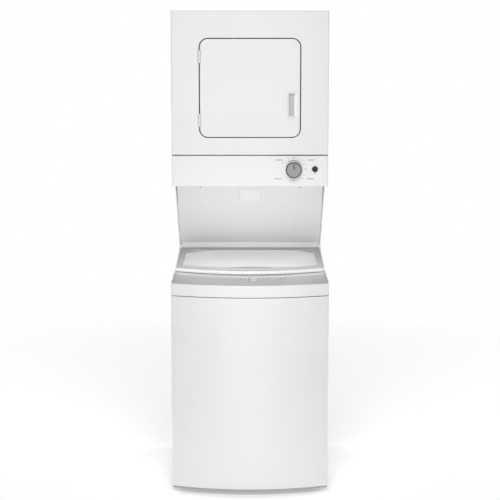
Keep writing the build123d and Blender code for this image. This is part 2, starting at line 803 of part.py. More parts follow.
for side, side_name in ((-1, "left"), (1, "right")):
    with BuildPart() as stand_side:
        with BuildSketch(Plane.YZ.offset(-stand_span)):
            with BuildLine():
                Polyline(
                    (stand_front, platform_z),
                    (inner_rear, platform_z),
                    (inner_rear, dryer_bottom),
                    (stand_head_y, dryer_bottom),
                    (rail_front, stand_foot_z),
                    (stand_front, stand_foot_z),
                    close=True,
                )
            make_face()
        extrude(amount=2 * stand_span)
        with BuildSketch(front_plane(rear_y)):
            with BuildLine():
                Polyline(
                    (side * half_stand_bottom, platform_z),
                    (side * half_stand_top, dryer_bottom),
                    (side * (half_stand_top - stand_edge), dryer_bottom),
                    (side * (half_stand_bottom - stand_edge), platform_z),
                    close=True,
                )
            make_face()
        extrude(amount=overall_depth, mode=Mode.INTERSECT)
    stand_side.part.label = f"stand_side_{side_name}"
    export_step(stand_side.part, f"parts/stand_side_{side_name}.step")

blank_half = 44.5
blank_length = 54
blank_drop = 36
blank_height = 2.2
blank_bevel = 55
blank_corner = 6
screw_radius = 4
screw_shank = 2
screw_head = 1.5
screw_length = 8
top_screw_x = 196
top_screw_drop = 23
rail_screw_inset = 6
rail_screw_drop = 4.5
top_screw_z = dryer_bottom - top_screw_drop
rail_screw_x = rail_half - rail_screw_inset
rail_screw_z = stand_foot_z - rail_screw_drop
blank_z = dryer_bottom - blank_drop - blank_length / 2 * math.sin(cover_angle)


# Plane on the sloped face at a given place, its normal pointing out and down
def slope_plane(x, z):
    return Plane(
        origin=(x, slope_y(z), z),
        x_dir=(1, 0, 0),
        z_dir=(0, -math.sin(cover_angle), -math.cos(cover_angle)),
    )


cover_screw_planes = [slope_plane(x, top_screw_z) for x in (-top_screw_x, top_screw_x)]
cover_screw_planes += [front_plane(rail_front, x, rail_screw_z) for x in (-rail_screw_x, rail_screw_x)]

with BuildPart() as stand_cover:
    with BuildSketch(Plane.YZ.offset(-rail_half)):
        with BuildLine():
            Polyline(
                (rail_front, platform_z),
                (rail_front, stand_foot_z),
                (stand_head_y, dryer_bottom),
                (stand_head_y + cover_depth, dryer_bottom),
                (stand_front, stand_foot_z + cover_skin / 2),
                (stand_front, platform_z),
                close=True,
            )
        make_face()
    extrude(amount=2 * rail_half)
    for side in (-1, 1):
        low = stand_half(stand_foot_z) - stand_edge - cover_gap
        high = stand_half(dryer_bottom) - stand_edge - cover_gap
        with BuildSketch(front_plane(rear_y)):
            with BuildLine():
                Polyline(
                    (side * low, stand_foot_z),
                    (side * high, dryer_bottom),
                    (side * stand_span, dryer_bottom),
                    (side * stand_span, stand_foot_z),
                    close=True,
                )
            make_face()
        extrude(amount=overall_depth, mode=Mode.SUBTRACT)
    with BuildSketch(slope_plane(0, blank_z)):
        RectangleRounded(2 * blank_half, blank_length, blank_corner)
    extrude(amount=blank_height, taper=blank_bevel)
    for plane in cover_screw_planes:
        with BuildSketch(plane):
            Circle(screw_shank + running_gap)
        extrude(amount=-screw_length, mode=Mode.SUBTRACT)
stand_cover.part.label = "stand_cover"
export_step(stand_cover.part, "parts/stand_cover.step")

with BuildPart() as panel_screws:
    for plane in cover_screw_planes:
        with BuildSketch(plane):
            Circle(screw_radius)
        extrude(amount=screw_head)
        with BuildSketch(plane):
            Circle(screw_shank)
        extrude(amount=-cover_skin)
panel_screws.part.label = "panel_screws"
export_step(panel_screws.part, "parts/panel_screws.step")

# Dryer cabinet: base pan, flat sides, top and one rear panel that also closes the stand
front_return = 15
edge_radius = 5
tray_roll = 1.4
top_thickness = 4
top_edge = 3
top_rim = 8
dryer_side_front = dryer_front + front_return
dryer_side_top = overall_height - top_thickness
console_top = dryer_bottom + console_height
dryer_panel_bottom = console_top + console_seam
duct_radius = 50.8
duct_wall = 1.2
duct_height = 62
cord_radius = 11
cord_x = 200
cord_height = 50
duct_z = dryer_bottom + duct_height
cord_z = dryer_bottom + cord_height
door_centre_z = (dryer_panel_bottom + dryer_side_top) / 2 - door_drop

with BuildPart() as dryer_base:
    block(-half_dryer, half_dryer, dryer_side_front, inner_rear, dryer_bottom, dryer_bottom + thick_sheet)
dryer_base.part.label = "dryer_base"
export_step(dryer_base.part, "parts/dryer_base.step")

for side, side_name in ((-1, "left"), (1, "right")):
    x0, x1 = sorted((side * half_dryer, side * (half_dryer - sheet)))
    with BuildPart() as dryer_side:
        block(x0, x1, dryer_side_front, inner_rear, dryer_bottom + thick_sheet, dryer_side_top)
    dryer_side.part.label = f"dryer_side_{side_name}"
    export_step(dryer_side.part, f"parts/dryer_side_{side_name}.step")

with BuildPart() as dryer_top_panel:
    block(-half_dryer, half_dryer, dryer_front, rear_y, dryer_side_top, overall_height)
    fillet(dryer_top_panel.edges().filter_by(Axis.Z), edge_radius)
    fillet(dryer_top_panel.edges().group_by(Axis.Z)[-1], top_edge)
    rim_x = half_dryer - top_rim
    block(-rim_x, rim_x, dryer_front + top_rim, rear_y - top_rim, dryer_side_top, overall_height - sheet,
          mode=Mode.SUBTRACT)
dryer_top_panel.part.label = "dryer_top_panel"
export_step(dryer_top_panel.part, "parts/dryer_top_panel.step")

with BuildPart() as rear_panel:
    with BuildSketch(front_plane(rear_y)):
        with BuildLine():
            Polyline(
                (-half_stand_bottom, platform_z),
                (half_stand_bottom, platform_z),
                (half_stand_top, dryer_bottom),
                (half_dryer, dryer_bottom),
                (half_dryer, dryer_side_top),
                (-half_dryer, dryer_side_top),
                (-half_dryer, dryer_bottom),
                (-half_stand_top, dryer_bottom),
                close=True,
            )
        make_face()
        with Locations((0, duct_z)):
            Circle(duct_radius + hole_gap, mode=Mode.SUBTRACT)
        with Locations((cord_x, cord_z)):
            Circle(cord_radius, mode=Mode.SUBTRACT)
    extrude(amount=sheet)
rear_panel.part.label = "rear_panel"
export_step(rear_panel.part, "parts/rear_panel.step")

# Dryer door hinges: barrels that stand on the left-hand gap, a frame half and a door half on one pin line
opening_width = door_width + 2 * door_gap
opening_height = door_height + 2 * door_gap
opening_corner = door_corner + door_gap
half_door = door_width / 2
pin_x = -(half_door + door_gap / 2)
pin_stand = 2
pin_y = dryer_front - pin_stand
barrel_radius = 6
pin_radius = 2.5
knuckle = 16
leaf_length = 30
leaf_gap = 0.2
hinge_spread = 119.5
hinge_drop = 1.6
hinge_middle_z = door_centre_z - hinge_drop
hinge_centres = [hinge_middle_z - hinge_spread, hinge_middle_z + hinge_spread]
leaf_y = dryer_front + thick_sheet
leaf_back = leaf_y + thick_sheet
bulkhead_setback = 31
bulkhead_y = dryer_front + bulkhead_setback


# Bottom and top of the three knuckles of one hinge
def knuckle_spans(centre):
    lowest = centre - 1.5 * knuckle
    return [(lowest + step * knuckle, lowest + (step + 1) * knuckle) for step in range(3)]


# Clears a ring about the pin line, and a slot for the leaf, out of the panel that the hinge passes
def hinge_relief(side, low, high):
    bar_z(pin_x, pin_y, barrel_radius + 2 * running_gap, low, high, mode=Mode.SUBTRACT)
    x0, x1 = sorted((pin_x, pin_x + side * (leaf_length + leaf_gap)))
    block(x0, x1, leaf_y, leaf_back + leaf_gap, low, high, mode=Mode.SUBTRACT)
    x0, x1 = sorted((pin_x, pin_x + side * (barrel_radius + leaf_gap)))
    block(x0, x1, pin_y, leaf_back + leaf_gap, low, high, mode=Mode.SUBTRACT)


# One knuckle with its leaf: side is -1 for the frame and 1 for the door
def hinge_knuckle(side, low, high):
    bar_z(pin_x, pin_y, barrel_radius, low, high)
    x0, x1 = sorted((pin_x + side * leaf_gap, pin_x + side * barrel_radius))
    block(x0, x1, pin_y, leaf_back, low, high)
    x0, x1 = sorted((pin_x + side * leaf_gap, pin_x + side * leaf_length))
    block(x0, x1, leaf_y, leaf_back, low, high)


with BuildPart() as door_hinge_frames:
    for centre in hinge_centres:
        lower, middle, upper = knuckle_spans(centre)
        for low, high in (lower, upper):
            hinge_knuckle(-1, low, high)
        bar_z(pin_x, pin_y, pin_radius, lower[0], upper[1])
door_hinge_frames.part.label = "door_hinge_frames"
export_step(door_hinge_frames.part, "parts/door_hinge_frames.step")

with BuildPart() as door_hinge_leaves:
    for centre in hinge_centres:
        low, high = knuckle_spans(centre)[1]
        hinge_knuckle(1, low + leaf_gap, high - leaf_gap)
        bar_z(pin_x, pin_y, pin_radius + running_gap, low, high, mode=Mode.SUBTRACT)
door_hinge_leaves.part.label = "door_hinge_leaves"
export_step(door_hinge_leaves.part, "parts/door_hinge_leaves.step")

opening_roll = 2.5


# Shallow tray with rounded front edges, open at the back, for the dryer's front pieces
def front_tray(bottom, top):
    block(-half_dryer, half_dryer, dryer_front, dryer_side_front, bottom, top)
    fillet(edges().filter_by(Axis.Z).group_by(Axis.Y)[0], edge_radius)
    fillet(edges().filter_by(Axis.X).group_by(Axis.Y)[0], tray_roll)
    inner_half = half_dryer - sheet
    inner_front = dryer_front + thick_sheet
    block(-inner_half, inner_half, inner_front, dryer_side_front, bottom + sheet, top - sheet, mode=Mode.SUBTRACT)


with BuildPart() as dryer_front_panel:
    front_tray(dryer_panel_bottom, dryer_side_top)
    with BuildSketch(front_plane(bulkhead_y, z=door_centre_z)):
        RectangleRounded(
            opening_width + 2 * thick_sheet, opening_height + 2 * thick_sheet, opening_corner + thick_sheet)
    extrude(amount=bulkhead_y - dryer_front - thick_sheet)
    with BuildSketch(front_plane(bulkhead_y, z=door_centre_z)):
        RectangleRounded(opening_width, opening_height, opening_corner)
    extrude(amount=overall_depth, mode=Mode.SUBTRACT)
    fillet(dryer_front_panel.faces().sort_by(Axis.Y)[0].inner_wires()[0].edges(), opening_roll)
    for centre in hinge_centres:
        spans = knuckle_spans(centre)
        hinge_relief(-1, spans[0][0] - leaf_gap, spans[2][1] + leaf_gap)
dryer_front_panel.part.label = "dryer_front_panel"
export_step(dryer_front_panel.part, "parts/dryer_front_panel.step")

# Dryer door: a tray-shaped outer panel, a liner behind it and a recessed pull let into its right side
door_depth = 20
door_roll = 3
liner_depth = 8
liner_inset = 6
pull_inset = 9.1
pull_width = 40.1
pull_height = 103.5
pull_drop = 63.85
pull_corner = 2.5
pull_depth = 17
pull_skin = 2
pull_lip = 6.5
pull_wall_run = 8
pull_end_run = 10
pull_rim = 1.2
pull_grip = 12
lip_thickness = 3
fit_gap = 0.2
door_back = dryer_front + door_depth
pull_right = half_door - pull_inset
pull_left = pull_right - pull_width
pull_x = (pull_left + pull_right) / 2
pull_z = door_centre_z - pull_drop

with BuildPart() as door_panel:
    with BuildSketch(front_plane(door_back, z=door_centre_z)):
        RectangleRounded(door_width, door_height, door_corner)
    extrude(amount=door_depth)
    fillet(door_panel.faces().sort_by(Axis.Y)[0].edges(), door_roll)
    with BuildSketch(front_plane(door_back, z=door_centre_z)):
        RectangleRounded(door_width - 2 * thick_sheet, door_height - 2 * thick_sheet, door_corner - thick_sheet)
    extrude(amount=door_depth - thick_sheet, mode=Mode.SUBTRACT)
    with BuildSketch(front_plane(door_back, pull_x, pull_z)):
        RectangleRounded(pull_width, pull_height, pull_corner)
    extrude(amount=door_depth, mode=Mode.SUBTRACT)
    for centre in hinge_centres:
        spans = knuckle_spans(centre)
        hinge_relief(1, spans[0][0] - leaf_gap, spans[2][1] + leaf_gap)
door_panel.part.label = "door_panel"
export_step(door_panel.part, "parts/door_panel.step")

with BuildPart() as door_liner:
    with BuildSketch(front_plane(door_back + thick_sheet, z=door_centre_z)):
        RectangleRounded(door_width - 2 * fit_gap, door_height - 2 * fit_gap, door_corner)
    extrude(amount=thick_sheet)
    with BuildSketch(front_plane(door_back + liner_depth, z=door_centre_z)):
        RectangleRounded(door_width - 2 * liner_inset, door_height - 2 * liner_inset, door_corner)
    extrude(amount=liner_depth)
    with BuildSketch(front_plane(door_back + liner_depth - thick_sheet, z=door_centre_z)):
        hollow_inset = liner_inset + thick_sheet
        RectangleRounded(door_width - 2 * hollow_inset, door_height - 2 * hollow_inset, door_corner)
    extrude(amount=liner_depth, mode=Mode.SUBTRACT)
door_liner.part.label = "door_liner"
export_step(door_liner.part, "parts/door_liner.step")

with BuildPart() as door_pull:
    with BuildSketch(front_plane(dryer_front + pull_depth, pull_x, pull_z)):
        RectangleRounded(pull_width - 2 * fit_gap, pull_height - 2 * fit_gap, pull_corner - fit_gap)
    extrude(amount=pull_depth)
    inside_back = dryer_front + pull_depth - pull_skin
    mouth_left, mouth_right = pull_left + pull_rim, pull_right - pull_lip
    mouth_half = pull_height / 2 - pull_rim
    floor_left, floor_half = mouth_left + pull_wall_run, mouth_half - pull_end_run
    for y, left, half in ((dryer_front, mouth_left, mouth_half), (inside_back, floor_left, floor_half)):
        with BuildSketch(front_plane(y, (left + mouth_right) / 2, pull_z)):
            Rectangle(mouth_right - left, 2 * half)
    loft(mode=Mode.SUBTRACT)
    block(mouth_right - pull_grip, pull_right - 2 * pull_skin, dryer_front + lip_thickness, inside_back,
          pull_z - floor_half, pull_z + floor_half, mode=Mode.SUBTRACT)
door_pull.part.label = "door_pull"
export_step(door_pull.part, "parts/door_pull.step")

# Spring catch on the right-hand edge of the door opening
catch_drop = 124.6
catch_z = door_centre_z - catch_drop
catch_half = 6
catch_reach = 1.5
catch_front = 5
catch_length = 14

with BuildPart() as door_catch:
    opening_edge = opening_width / 2
    catch_y = dryer_front + catch_front
    block(
        opening_edge - catch_reach,
        opening_edge,
        catch_y,
        catch_y + catch_length,
        catch_z - catch_half,
        catch_z + catch_half,
    )
door_catch.part.label = "door_catch"
export_step(door_catch.part, "parts/door_catch.step")

# Dryer console with its timer, timer knob and start button
knob_shaft = 3
shaft_clear = 2
knob_length = 22
knob_standoff = 2
skirt_rim = 4.1
skirt_radius = knob_radius + skirt_rim
skirt_thickness = 2
shaft_length = 22
timer_half = 30
timer_depth = 42
button_gap = 0.4
button_stand = 5
button_rim = 2.2
button_flange = button_radius + button_rim
button_depth = 9
knob_x = half_dryer - knob_inset
knob_z = dryer_bottom + knob_height
button_x = half_dryer - button_inset
button_z = dryer_bottom + button_height
console_skin = dryer_front + thick_sheet

with BuildPart() as dryer_console:
    front_tray(dryer_bottom, console_top)
    bar_y(knob_x, knob_z, knob_shaft + shaft_clear, dryer_front - sheet, console_skin, mode=Mode.SUBTRACT)
    bar_y(button_x, button_z, button_radius + button_gap, dryer_front - sheet, console_skin, mode=Mode.SUBTRACT)
dryer_console.part.label = "dryer_console"
export_step(dryer_console.part, "parts/dryer_console.step")

with BuildPart() as timer:
    block(
        knob_x - timer_half,
        knob_x + timer_half,
        console_skin,
        console_skin + timer_depth,
        knob_z - timer_half,
        knob_z + timer_half,
    )
    bar_y(knob_x, knob_z, knob_shaft + running_gap, console_skin, console_skin + shaft_length, mode=Mode.SUBTRACT)
timer.part.label = "timer"
export_step(timer.part, "parts/timer.step")

with BuildPart() as timer_knob:
    skirt_back = dryer_front - knob_standoff
    bar_y(knob_x, knob_z, skirt_radius, skirt_back - skirt_thickness, skirt_back)
    bar_y(knob_x, knob_z, knob_radius, skirt_back - knob_length, skirt_back)
    fillet(timer_knob.edges().group_by(Axis.Y)[0], skirt_thickness)
    bar_y(knob_x, knob_z, knob_shaft, skirt_back, console_skin + shaft_length - knob_standoff)
timer_knob.part.label = "timer_knob"
export_step(timer_knob.part, "parts/timer_knob.step")

with BuildPart() as start_button:
    bar_y(button_x, button_z, button_radius, dryer_front - button_stand, console_skin + button_depth)
    fillet(start_button.edges().group_by(Axis.Y)[0], sheet)
    bar_y(button_x, button_z, button_flange, console_skin, console_skin + thick_sheet)
start_button.part.label = "start_button"
export_step(start_button.part, "parts/start_button.step")

# Bulkheads: the front one carries the throat and the drum's glides, the rear one the drum's bearing
bulkhead_thickness = 3
bulkhead_lift = 2.95
bulkhead_bottom = console_top + bulkhead_lift
collar_wall = 4
collar_length = 46
glide_width = 30
glide_angle = 60
drum_setback = 72
drum_front = dryer_front + drum_setback
drum_wall = 1.2
rear_room = 76.5
mouth_gap = 5
drum_mouth = throat_radius + collar_wall + mouth_gap
spindle_radius = 12
spindle_length = 22
screen_half = 88
screen_setback = 12
screen_y = bulkhead_y + screen_setback
screen_thickness = 10
screen_gap = 1
grip_lip = 4
grip_half = screen_half + grip_lip
drum_z = door_centre_z
drum_radius = min(half_dryer - sheet - drum_side_gap, dryer_side_top - drum_z - drum_top_gap)
drum_back = inner_rear - rear_room
drum_length = drum_back - drum_front
bulkhead_back = bulkhead_y + bulkhead_thickness
drum_end_gap = 6
rear_bulkhead_y = drum_back + drum_end_gap
bulkhead_half = half_dryer - sheet
collar_radius = throat_radius + collar_wall
screen_back = screen_y + screen_thickness

with BuildPart() as front_bulkhead:
    block(-bulkhead_half, bulkhead_half, bulkhead_y, bulkhead_back, bulkhead_bottom, dryer_side_top)
    bar_y(0, drum_z, collar_radius, bulkhead_back, bulkhead_back + collar_length)
    glide_reach = drum_mouth - running_gap
    with BuildSketch(front_plane(bulkhead_back + collar_length, z=drum_z)):
        with PolarLocations(glide_reach - glide_width / 2, 2, start_angle=glide_angle, angular_range=180 - glide_angle):
            Rectangle(glide_width, glide_width)
        Circle(glide_reach, mode=Mode.INTERSECT)
    extrude(amount=collar_length / 2)
    bar_y(0, drum_z, throat_radius, bulkhead_y, bulkhead_back + collar_length, mode=Mode.SUBTRACT)
    block(
        -grip_half - screen_gap,
        grip_half + screen_gap,
        screen_y - screen_gap,
        screen_back + screen_gap,
        bulkhead_bottom,
        drum_z,
        mode=Mode.SUBTRACT,
    )
front_bulkhead.part.label = "front_bulkhead"
export_step(front_bulkhead.part, "parts/front_bulkhead.step")

# Drum: a drum shell with three folded lifters, open at the back, turning on a rear spindle
lifter_count = 3
lifter_height = 50
lifter_width = 32
lifter_skin = 2
lifter_gap = 8
drum_inner = drum_radius - drum_wall

with BuildPart() as dryer_drum:
    bar_y(0, drum_z, drum_radius, drum_front, drum_back)
    bar_y(0, drum_z, drum_inner, drum_front + drum_wall, drum_back - drum_wall, mode=Mode.SUBTRACT)
    with BuildSketch(front_plane(drum_back - lifter_gap, z=drum_z)):
        with PolarLocations(drum_inner - lifter_height / 2, lifter_count, start_angle=90):
            Rectangle(lifter_height + drum_wall, lifter_width)
        with PolarLocations(drum_inner - lifter_height / 2 + lifter_skin, lifter_count, start_angle=90):
            Rectangle(lifter_height + drum_wall, lifter_width - 2 * lifter_skin, mode=Mode.SUBTRACT)
        Circle(drum_inner + drum_wall / 2, mode=Mode.INTERSECT)
    extrude(amount=drum_length - lifter_gap - drum_wall / 2)
    bar_y(0, drum_z, drum_mouth, drum_front, drum_front + drum_wall, mode=Mode.SUBTRACT)
    bar_y(0, drum_z, spindle_radius, drum_back, drum_back + spindle_length)
dryer_drum.part.label = "dryer_drum"
export_step(dryer_drum.part, "parts/dryer_drum.step")

bearing_radius = 32
bearing_length = 14
heater_left = -235
heater_right = -75
heater_height = 290
heater_drop = 172.6
heater_depth = 50
heater_wall = 1.5
air_margin = 20
heater_bottom = drum_z - heater_drop
heater_top = heater_bottom + heater_height

with BuildPart() as rear_bulkhead:
    rear_bulkhead_back = rear_bulkhead_y + thick_sheet
    block(-bulkhead_half, bulkhead_half, rear_bulkhead_y, rear_bulkhead_back, bulkhead_bottom, dryer_side_top)
    bar_y(0, drum_z, bearing_radius, rear_bulkhead_back, rear_bulkhead_back + bearing_length)
    bar_y(0, drum_z, spindle_radius + running_gap, rear_bulkhead_y, rear_bulkhead_back + bearing_length,
          mode=Mode.SUBTRACT)
    block(
        heater_left + air_margin,
        heater_right - air_margin,
        rear_bulkhead_y,
        rear_bulkhead_back,
        heater_bottom + air_margin,
        heater_top - air_margin,
        mode=Mode.SUBTRACT,
    )
rear_bulkhead.part.label = "rear_bulkhead"
export_step(rear_bulkhead.part, "parts/rear_bulkhead.step")

with BuildPart() as heater_box:
    heater_back = rear_bulkhead_back + heater_depth
    block(heater_left, heater_right, rear_bulkhead_back, heater_back, heater_bottom, heater_top)
    block(
        heater_left + heater_wall,
        heater_right - heater_wall,
        rear_bulkhead_back,
        heater_back - heater_wall,
        heater_bottom,
        heater_top - heater_wall,
        mode=Mode.SUBTRACT,
    )
heater_box.part.label = "heater_box"
export_step(heater_box.part, "parts/heater_box.step")

# Lint duct under the throat and the lint screen that slides up out of it
motor_axis_x = -192
motor_axis_height = 78
lint_left = -246
lint_right = 108
lint_drop = 8.6
lint_shoulder = 40
lint_wall = 2
motor_axis_z = dryer_bottom + motor_axis_height
lint_bottom = dryer_bottom + thick_sheet
lint_top = drum_z - throat_radius - lint_drop
lint_step_z = lint_top - lint_shoulder
lint_gap = 4
lint_back = drum_front - lint_gap
inlet_hole = 46
screen_height = 150
screen_bar = 8
grip_height = 6

with BuildPart() as lint_duct:
    lint_half = screen_half + 3 * screen_bar / 2
    block(lint_left, lint_right, bulkhead_back, lint_back, lint_bottom, lint_step_z)
    block(-lint_half, lint_half, bulkhead_back, lint_back, lint_bottom, lint_top)
    duct_in, duct_out = bulkhead_back + lint_wall, lint_back - lint_wall
    block(lint_left + lint_wall, lint_right - lint_wall, duct_in, duct_out,
          lint_bottom + lint_wall, lint_step_z - lint_wall, mode=Mode.SUBTRACT)
    block(-lint_half + lint_wall, lint_half - lint_wall, duct_in, duct_out,
          lint_bottom + lint_wall, lint_top - lint_wall, mode=Mode.SUBTRACT)
    block(-screen_half - screen_gap, screen_half + screen_gap, screen_y - screen_gap, screen_back + screen_gap,
          lint_top - lint_wall, lint_top, mode=Mode.SUBTRACT)
    bar_y(motor_axis_x, motor_axis_z, inlet_hole, duct_out, lint_back, mode=Mode.SUBTRACT)
lint_duct.part.label = "lint_duct"
export_step(lint_duct.part, "parts/lint_duct.step")

with BuildPart() as lint_screen:
    screen_top = lint_top + grip_height
    block(-screen_half, screen_half, screen_y, screen_back, lint_top - screen_height, screen_top)
    block(-grip_half, grip_half, screen_y, screen_back, lint_top, screen_top)
    block(
        -screen_half + screen_bar,
        screen_half - screen_bar,
        screen_y + screen_thickness / 2,
        screen_back,
        lint_top - screen_height + screen_bar,
        lint_top - screen_bar,
        mode=Mode.SUBTRACT,
    )
lint_screen.part.label = "lint_screen"
export_step(lint_screen.part, "parts/lint_screen.step")

# Blower: a scroll housing behind the lint duct, opening into the exhaust duct
scroll_radius = 74
scroll_wall = 2
blower_depth = 78
blower_back = lint_back + blower_depth
shaft_hole = 10
outlet_lift = 8
outlet_low = dryer_bottom + outlet_lift
outlet_height = 60
outlet_high = outlet_low + outlet_height
exhaust_half = 50
exhaust_height = 78
exhaust_wall = 1.5
exhaust_inset = 35.5
exhaust_bottom = dryer_bottom + thick_sheet
exhaust_top = exhaust_bottom + exhaust_height
exhaust_back = inner_rear - exhaust_inset
wheel_radius = 62
wheel_clear = 6
dryer_shaft = 6
dryer_pulley_radius = 14

with BuildPart() as blower_housing:
    bar_y(motor_axis_x, motor_axis_z, scroll_radius, lint_back, blower_back)
    block(motor_axis_x, -exhaust_half, lint_back, blower_back, outlet_low, outlet_high)
    inside_front, inside_back = lint_back + scroll_wall, blower_back - scroll_wall
    bar_y(motor_axis_x, motor_axis_z, scroll_radius - scroll_wall, inside_front, inside_back, mode=Mode.SUBTRACT)
    block(motor_axis_x, -exhaust_half, inside_front, inside_back,
          outlet_low + scroll_wall, outlet_high - scroll_wall, mode=Mode.SUBTRACT)
    bar_y(motor_axis_x, motor_axis_z, inlet_hole, lint_back, inside_front, mode=Mode.SUBTRACT)
    bar_y(motor_axis_x, motor_axis_z, shaft_hole, inside_back, blower_back, mode=Mode.SUBTRACT)
blower_housing.part.label = "blower_housing"
export_step(blower_housing.part, "parts/blower_housing.step")

with BuildPart() as exhaust_duct:
    block(-exhaust_half, exhaust_half, lint_back, exhaust_back, exhaust_bottom, exhaust_top)
    block(-exhaust_half + exhaust_wall, exhaust_half - exhaust_wall, lint_back + exhaust_wall, exhaust_back,
          exhaust_bottom + exhaust_wall, exhaust_top - exhaust_wall, mode=Mode.SUBTRACT)
    block(-exhaust_half, -exhaust_half + exhaust_wall, inside_front, inside_back,
          outlet_low + scroll_wall, outlet_high - scroll_wall, mode=Mode.SUBTRACT)
    plate_half = duct_radius + exhaust_wall
    block(-plate_half, plate_half, exhaust_back, exhaust_back + exhaust_wall, exhaust_bottom, duct_z + plate_half)
    bar_y(0, (exhaust_bottom + exhaust_top) / 2, (exhaust_top - exhaust_bottom) / 2 - 2 * exhaust_wall,
          exhaust_back, exhaust_back + exhaust_wall, mode=Mode.SUBTRACT)
    bar_y(0, duct_z, duct_radius - neck_step, exhaust_back + exhaust_wall, reach_y)
    bar_y(0, duct_z, duct_radius, neck_end, reach_y)
    duct_bore = duct_radius - neck_step - duct_wall
    bar_y(0, duct_z, duct_bore, exhaust_back + exhaust_wall, reach_y, mode=Mode.SUBTRACT)
exhaust_duct.part.label = "exhaust_duct"
export_step(exhaust_duct.part, "parts/exhaust_duct.step")

# Dryer motor on its mounting plate, which also carries the idler's pivot
dryer_motor_radius = 52
motor_stand = 30
motor_length = 140
motor_front = blower_back + motor_stand
motor_back = motor_front + motor_length
saddle_half = 45
pulley_overhang = 30
dryer_belt_y = motor_back + pulley_overhang
dryer_belt_width = 9
dryer_belt_thickness = 2
idler_radius = 14
idler_share = 0.72
idler_axle = 3.5
arm_thickness = 3
arm_end = 9
pivot_radius = 4
pivot_x = -74
pivot_height = 26
pivot_z = dryer_bottom + pivot_height
post_half = 12
motor_plate = 3
belt_skin = running_gap + dryer_belt_thickness
belt_front = dryer_belt_y - dryer_belt_width / 2
belt_back = dryer_belt_y + dryer_belt_width / 2
arm_gap = 2
arm_front = belt_back + arm_gap
arm_back = arm_front + arm_thickness
post_front = arm_back + arm_gap
post_back = post_front + motor_plate
plate_z = dryer_bottom + thick_sheet
drum_centre = (0, drum_z)
motor_centre = (motor_axis_x, motor_axis_z)
idler_run = belt_runs(drum_centre, drum_radius + belt_skin, motor_centre, dryer_pulley_radius + belt_skin)[1][0]
run_start, run_end, run_normal = idler_run
idler_stand = idler_radius + running_gap
idler_x = run_start[0] + idler_share * (run_end[0] - run_start[0]) + idler_stand * run_normal[0]
idler_z = run_start[1] + idler_share * (run_end[1] - run_start[1]) + idler_stand * run_normal[1]

with BuildPart() as dryer_motor:
    block(motor_axis_x - saddle_half, pivot_x + post_half, motor_front, post_back, plate_z, plate_z + motor_plate)
    block(motor_axis_x - saddle_half, motor_axis_x + saddle_half, motor_front + saddle_half / 2,
          motor_back - saddle_half / 2, plate_z, motor_axis_z)
    bar_y(motor_axis_x, motor_axis_z, dryer_motor_radius, motor_front, motor_back)
    bar_y(motor_axis_x, motor_axis_z, dryer_shaft + running_gap, motor_front, motor_back, mode=Mode.SUBTRACT)
    block(pivot_x - post_half, pivot_x + post_half, post_front, post_back, plate_z, pivot_z + post_half)
    bar_y(pivot_x, pivot_z, pivot_radius, arm_front, post_front)
dryer_motor.part.label = "dryer_motor"
export_step(dryer_motor.part, "parts/dryer_motor.step")

with BuildPart() as blower_wheel:
    wheel_front, wheel_back = inside_front + wheel_clear, inside_back - wheel_clear
    bar_y(motor_axis_x, motor_axis_z, wheel_radius, wheel_front, wheel_back)
    bar_y(motor_axis_x, motor_axis_z, inlet_hole, wheel_front, wheel_back - wheel_clear, mode=Mode.SUBTRACT)
    bar_y(motor_axis_x, motor_axis_z, dryer_shaft, wheel_front, dryer_belt_y + dryer_belt_width)
    bar_y(motor_axis_x, motor_axis_z, dryer_pulley_radius, belt_front - motor_plate, belt_back + sheet)
blower_wheel.part.label = "blower_wheel"
export_step(blower_wheel.part, "parts/blower_wheel.step")

with BuildPart() as dryer_belt:
    with BuildSketch(front_plane(belt_back)):
        for skin, mode in ((belt_skin, Mode.ADD), (running_gap, Mode.SUBTRACT)):
            belt_face(drum_centre, drum_radius + skin, motor_centre, dryer_pulley_radius + skin, mode=mode)
    extrude(amount=dryer_belt_width)
dryer_belt.part.label = "dryer_belt"
export_step(dryer_belt.part, "parts/dryer_belt.step")

with BuildPart() as idler_arm:
    with BuildSketch(front_plane(arm_back)):
        belt_face((pivot_x, pivot_z), arm_end, (idler_x, idler_z), arm_end)
        with Locations((pivot_x, pivot_z)):
            Circle(pivot_radius + running_gap, mode=Mode.SUBTRACT)
    extrude(amount=arm_thickness)
    bar_y(idler_x, idler_z, idler_axle, belt_front, arm_front)
idler_arm.part.label = "idler_arm"
export_step(idler_arm.part, "parts/idler_arm.step")

with BuildPart() as idler_wheel:
    bar_y(idler_x, idler_z, idler_radius, belt_front, belt_back)
    bar_y(idler_x, idler_z, idler_axle + running_gap, belt_front, belt_back, mode=Mode.SUBTRACT)
idler_wheel.part.label = "idler_wheel"
export_step(idler_wheel.part, "parts/idler_wheel.step")
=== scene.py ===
import bpy
import bmesh
import json
import math
from mathutils import Matrix, Vector


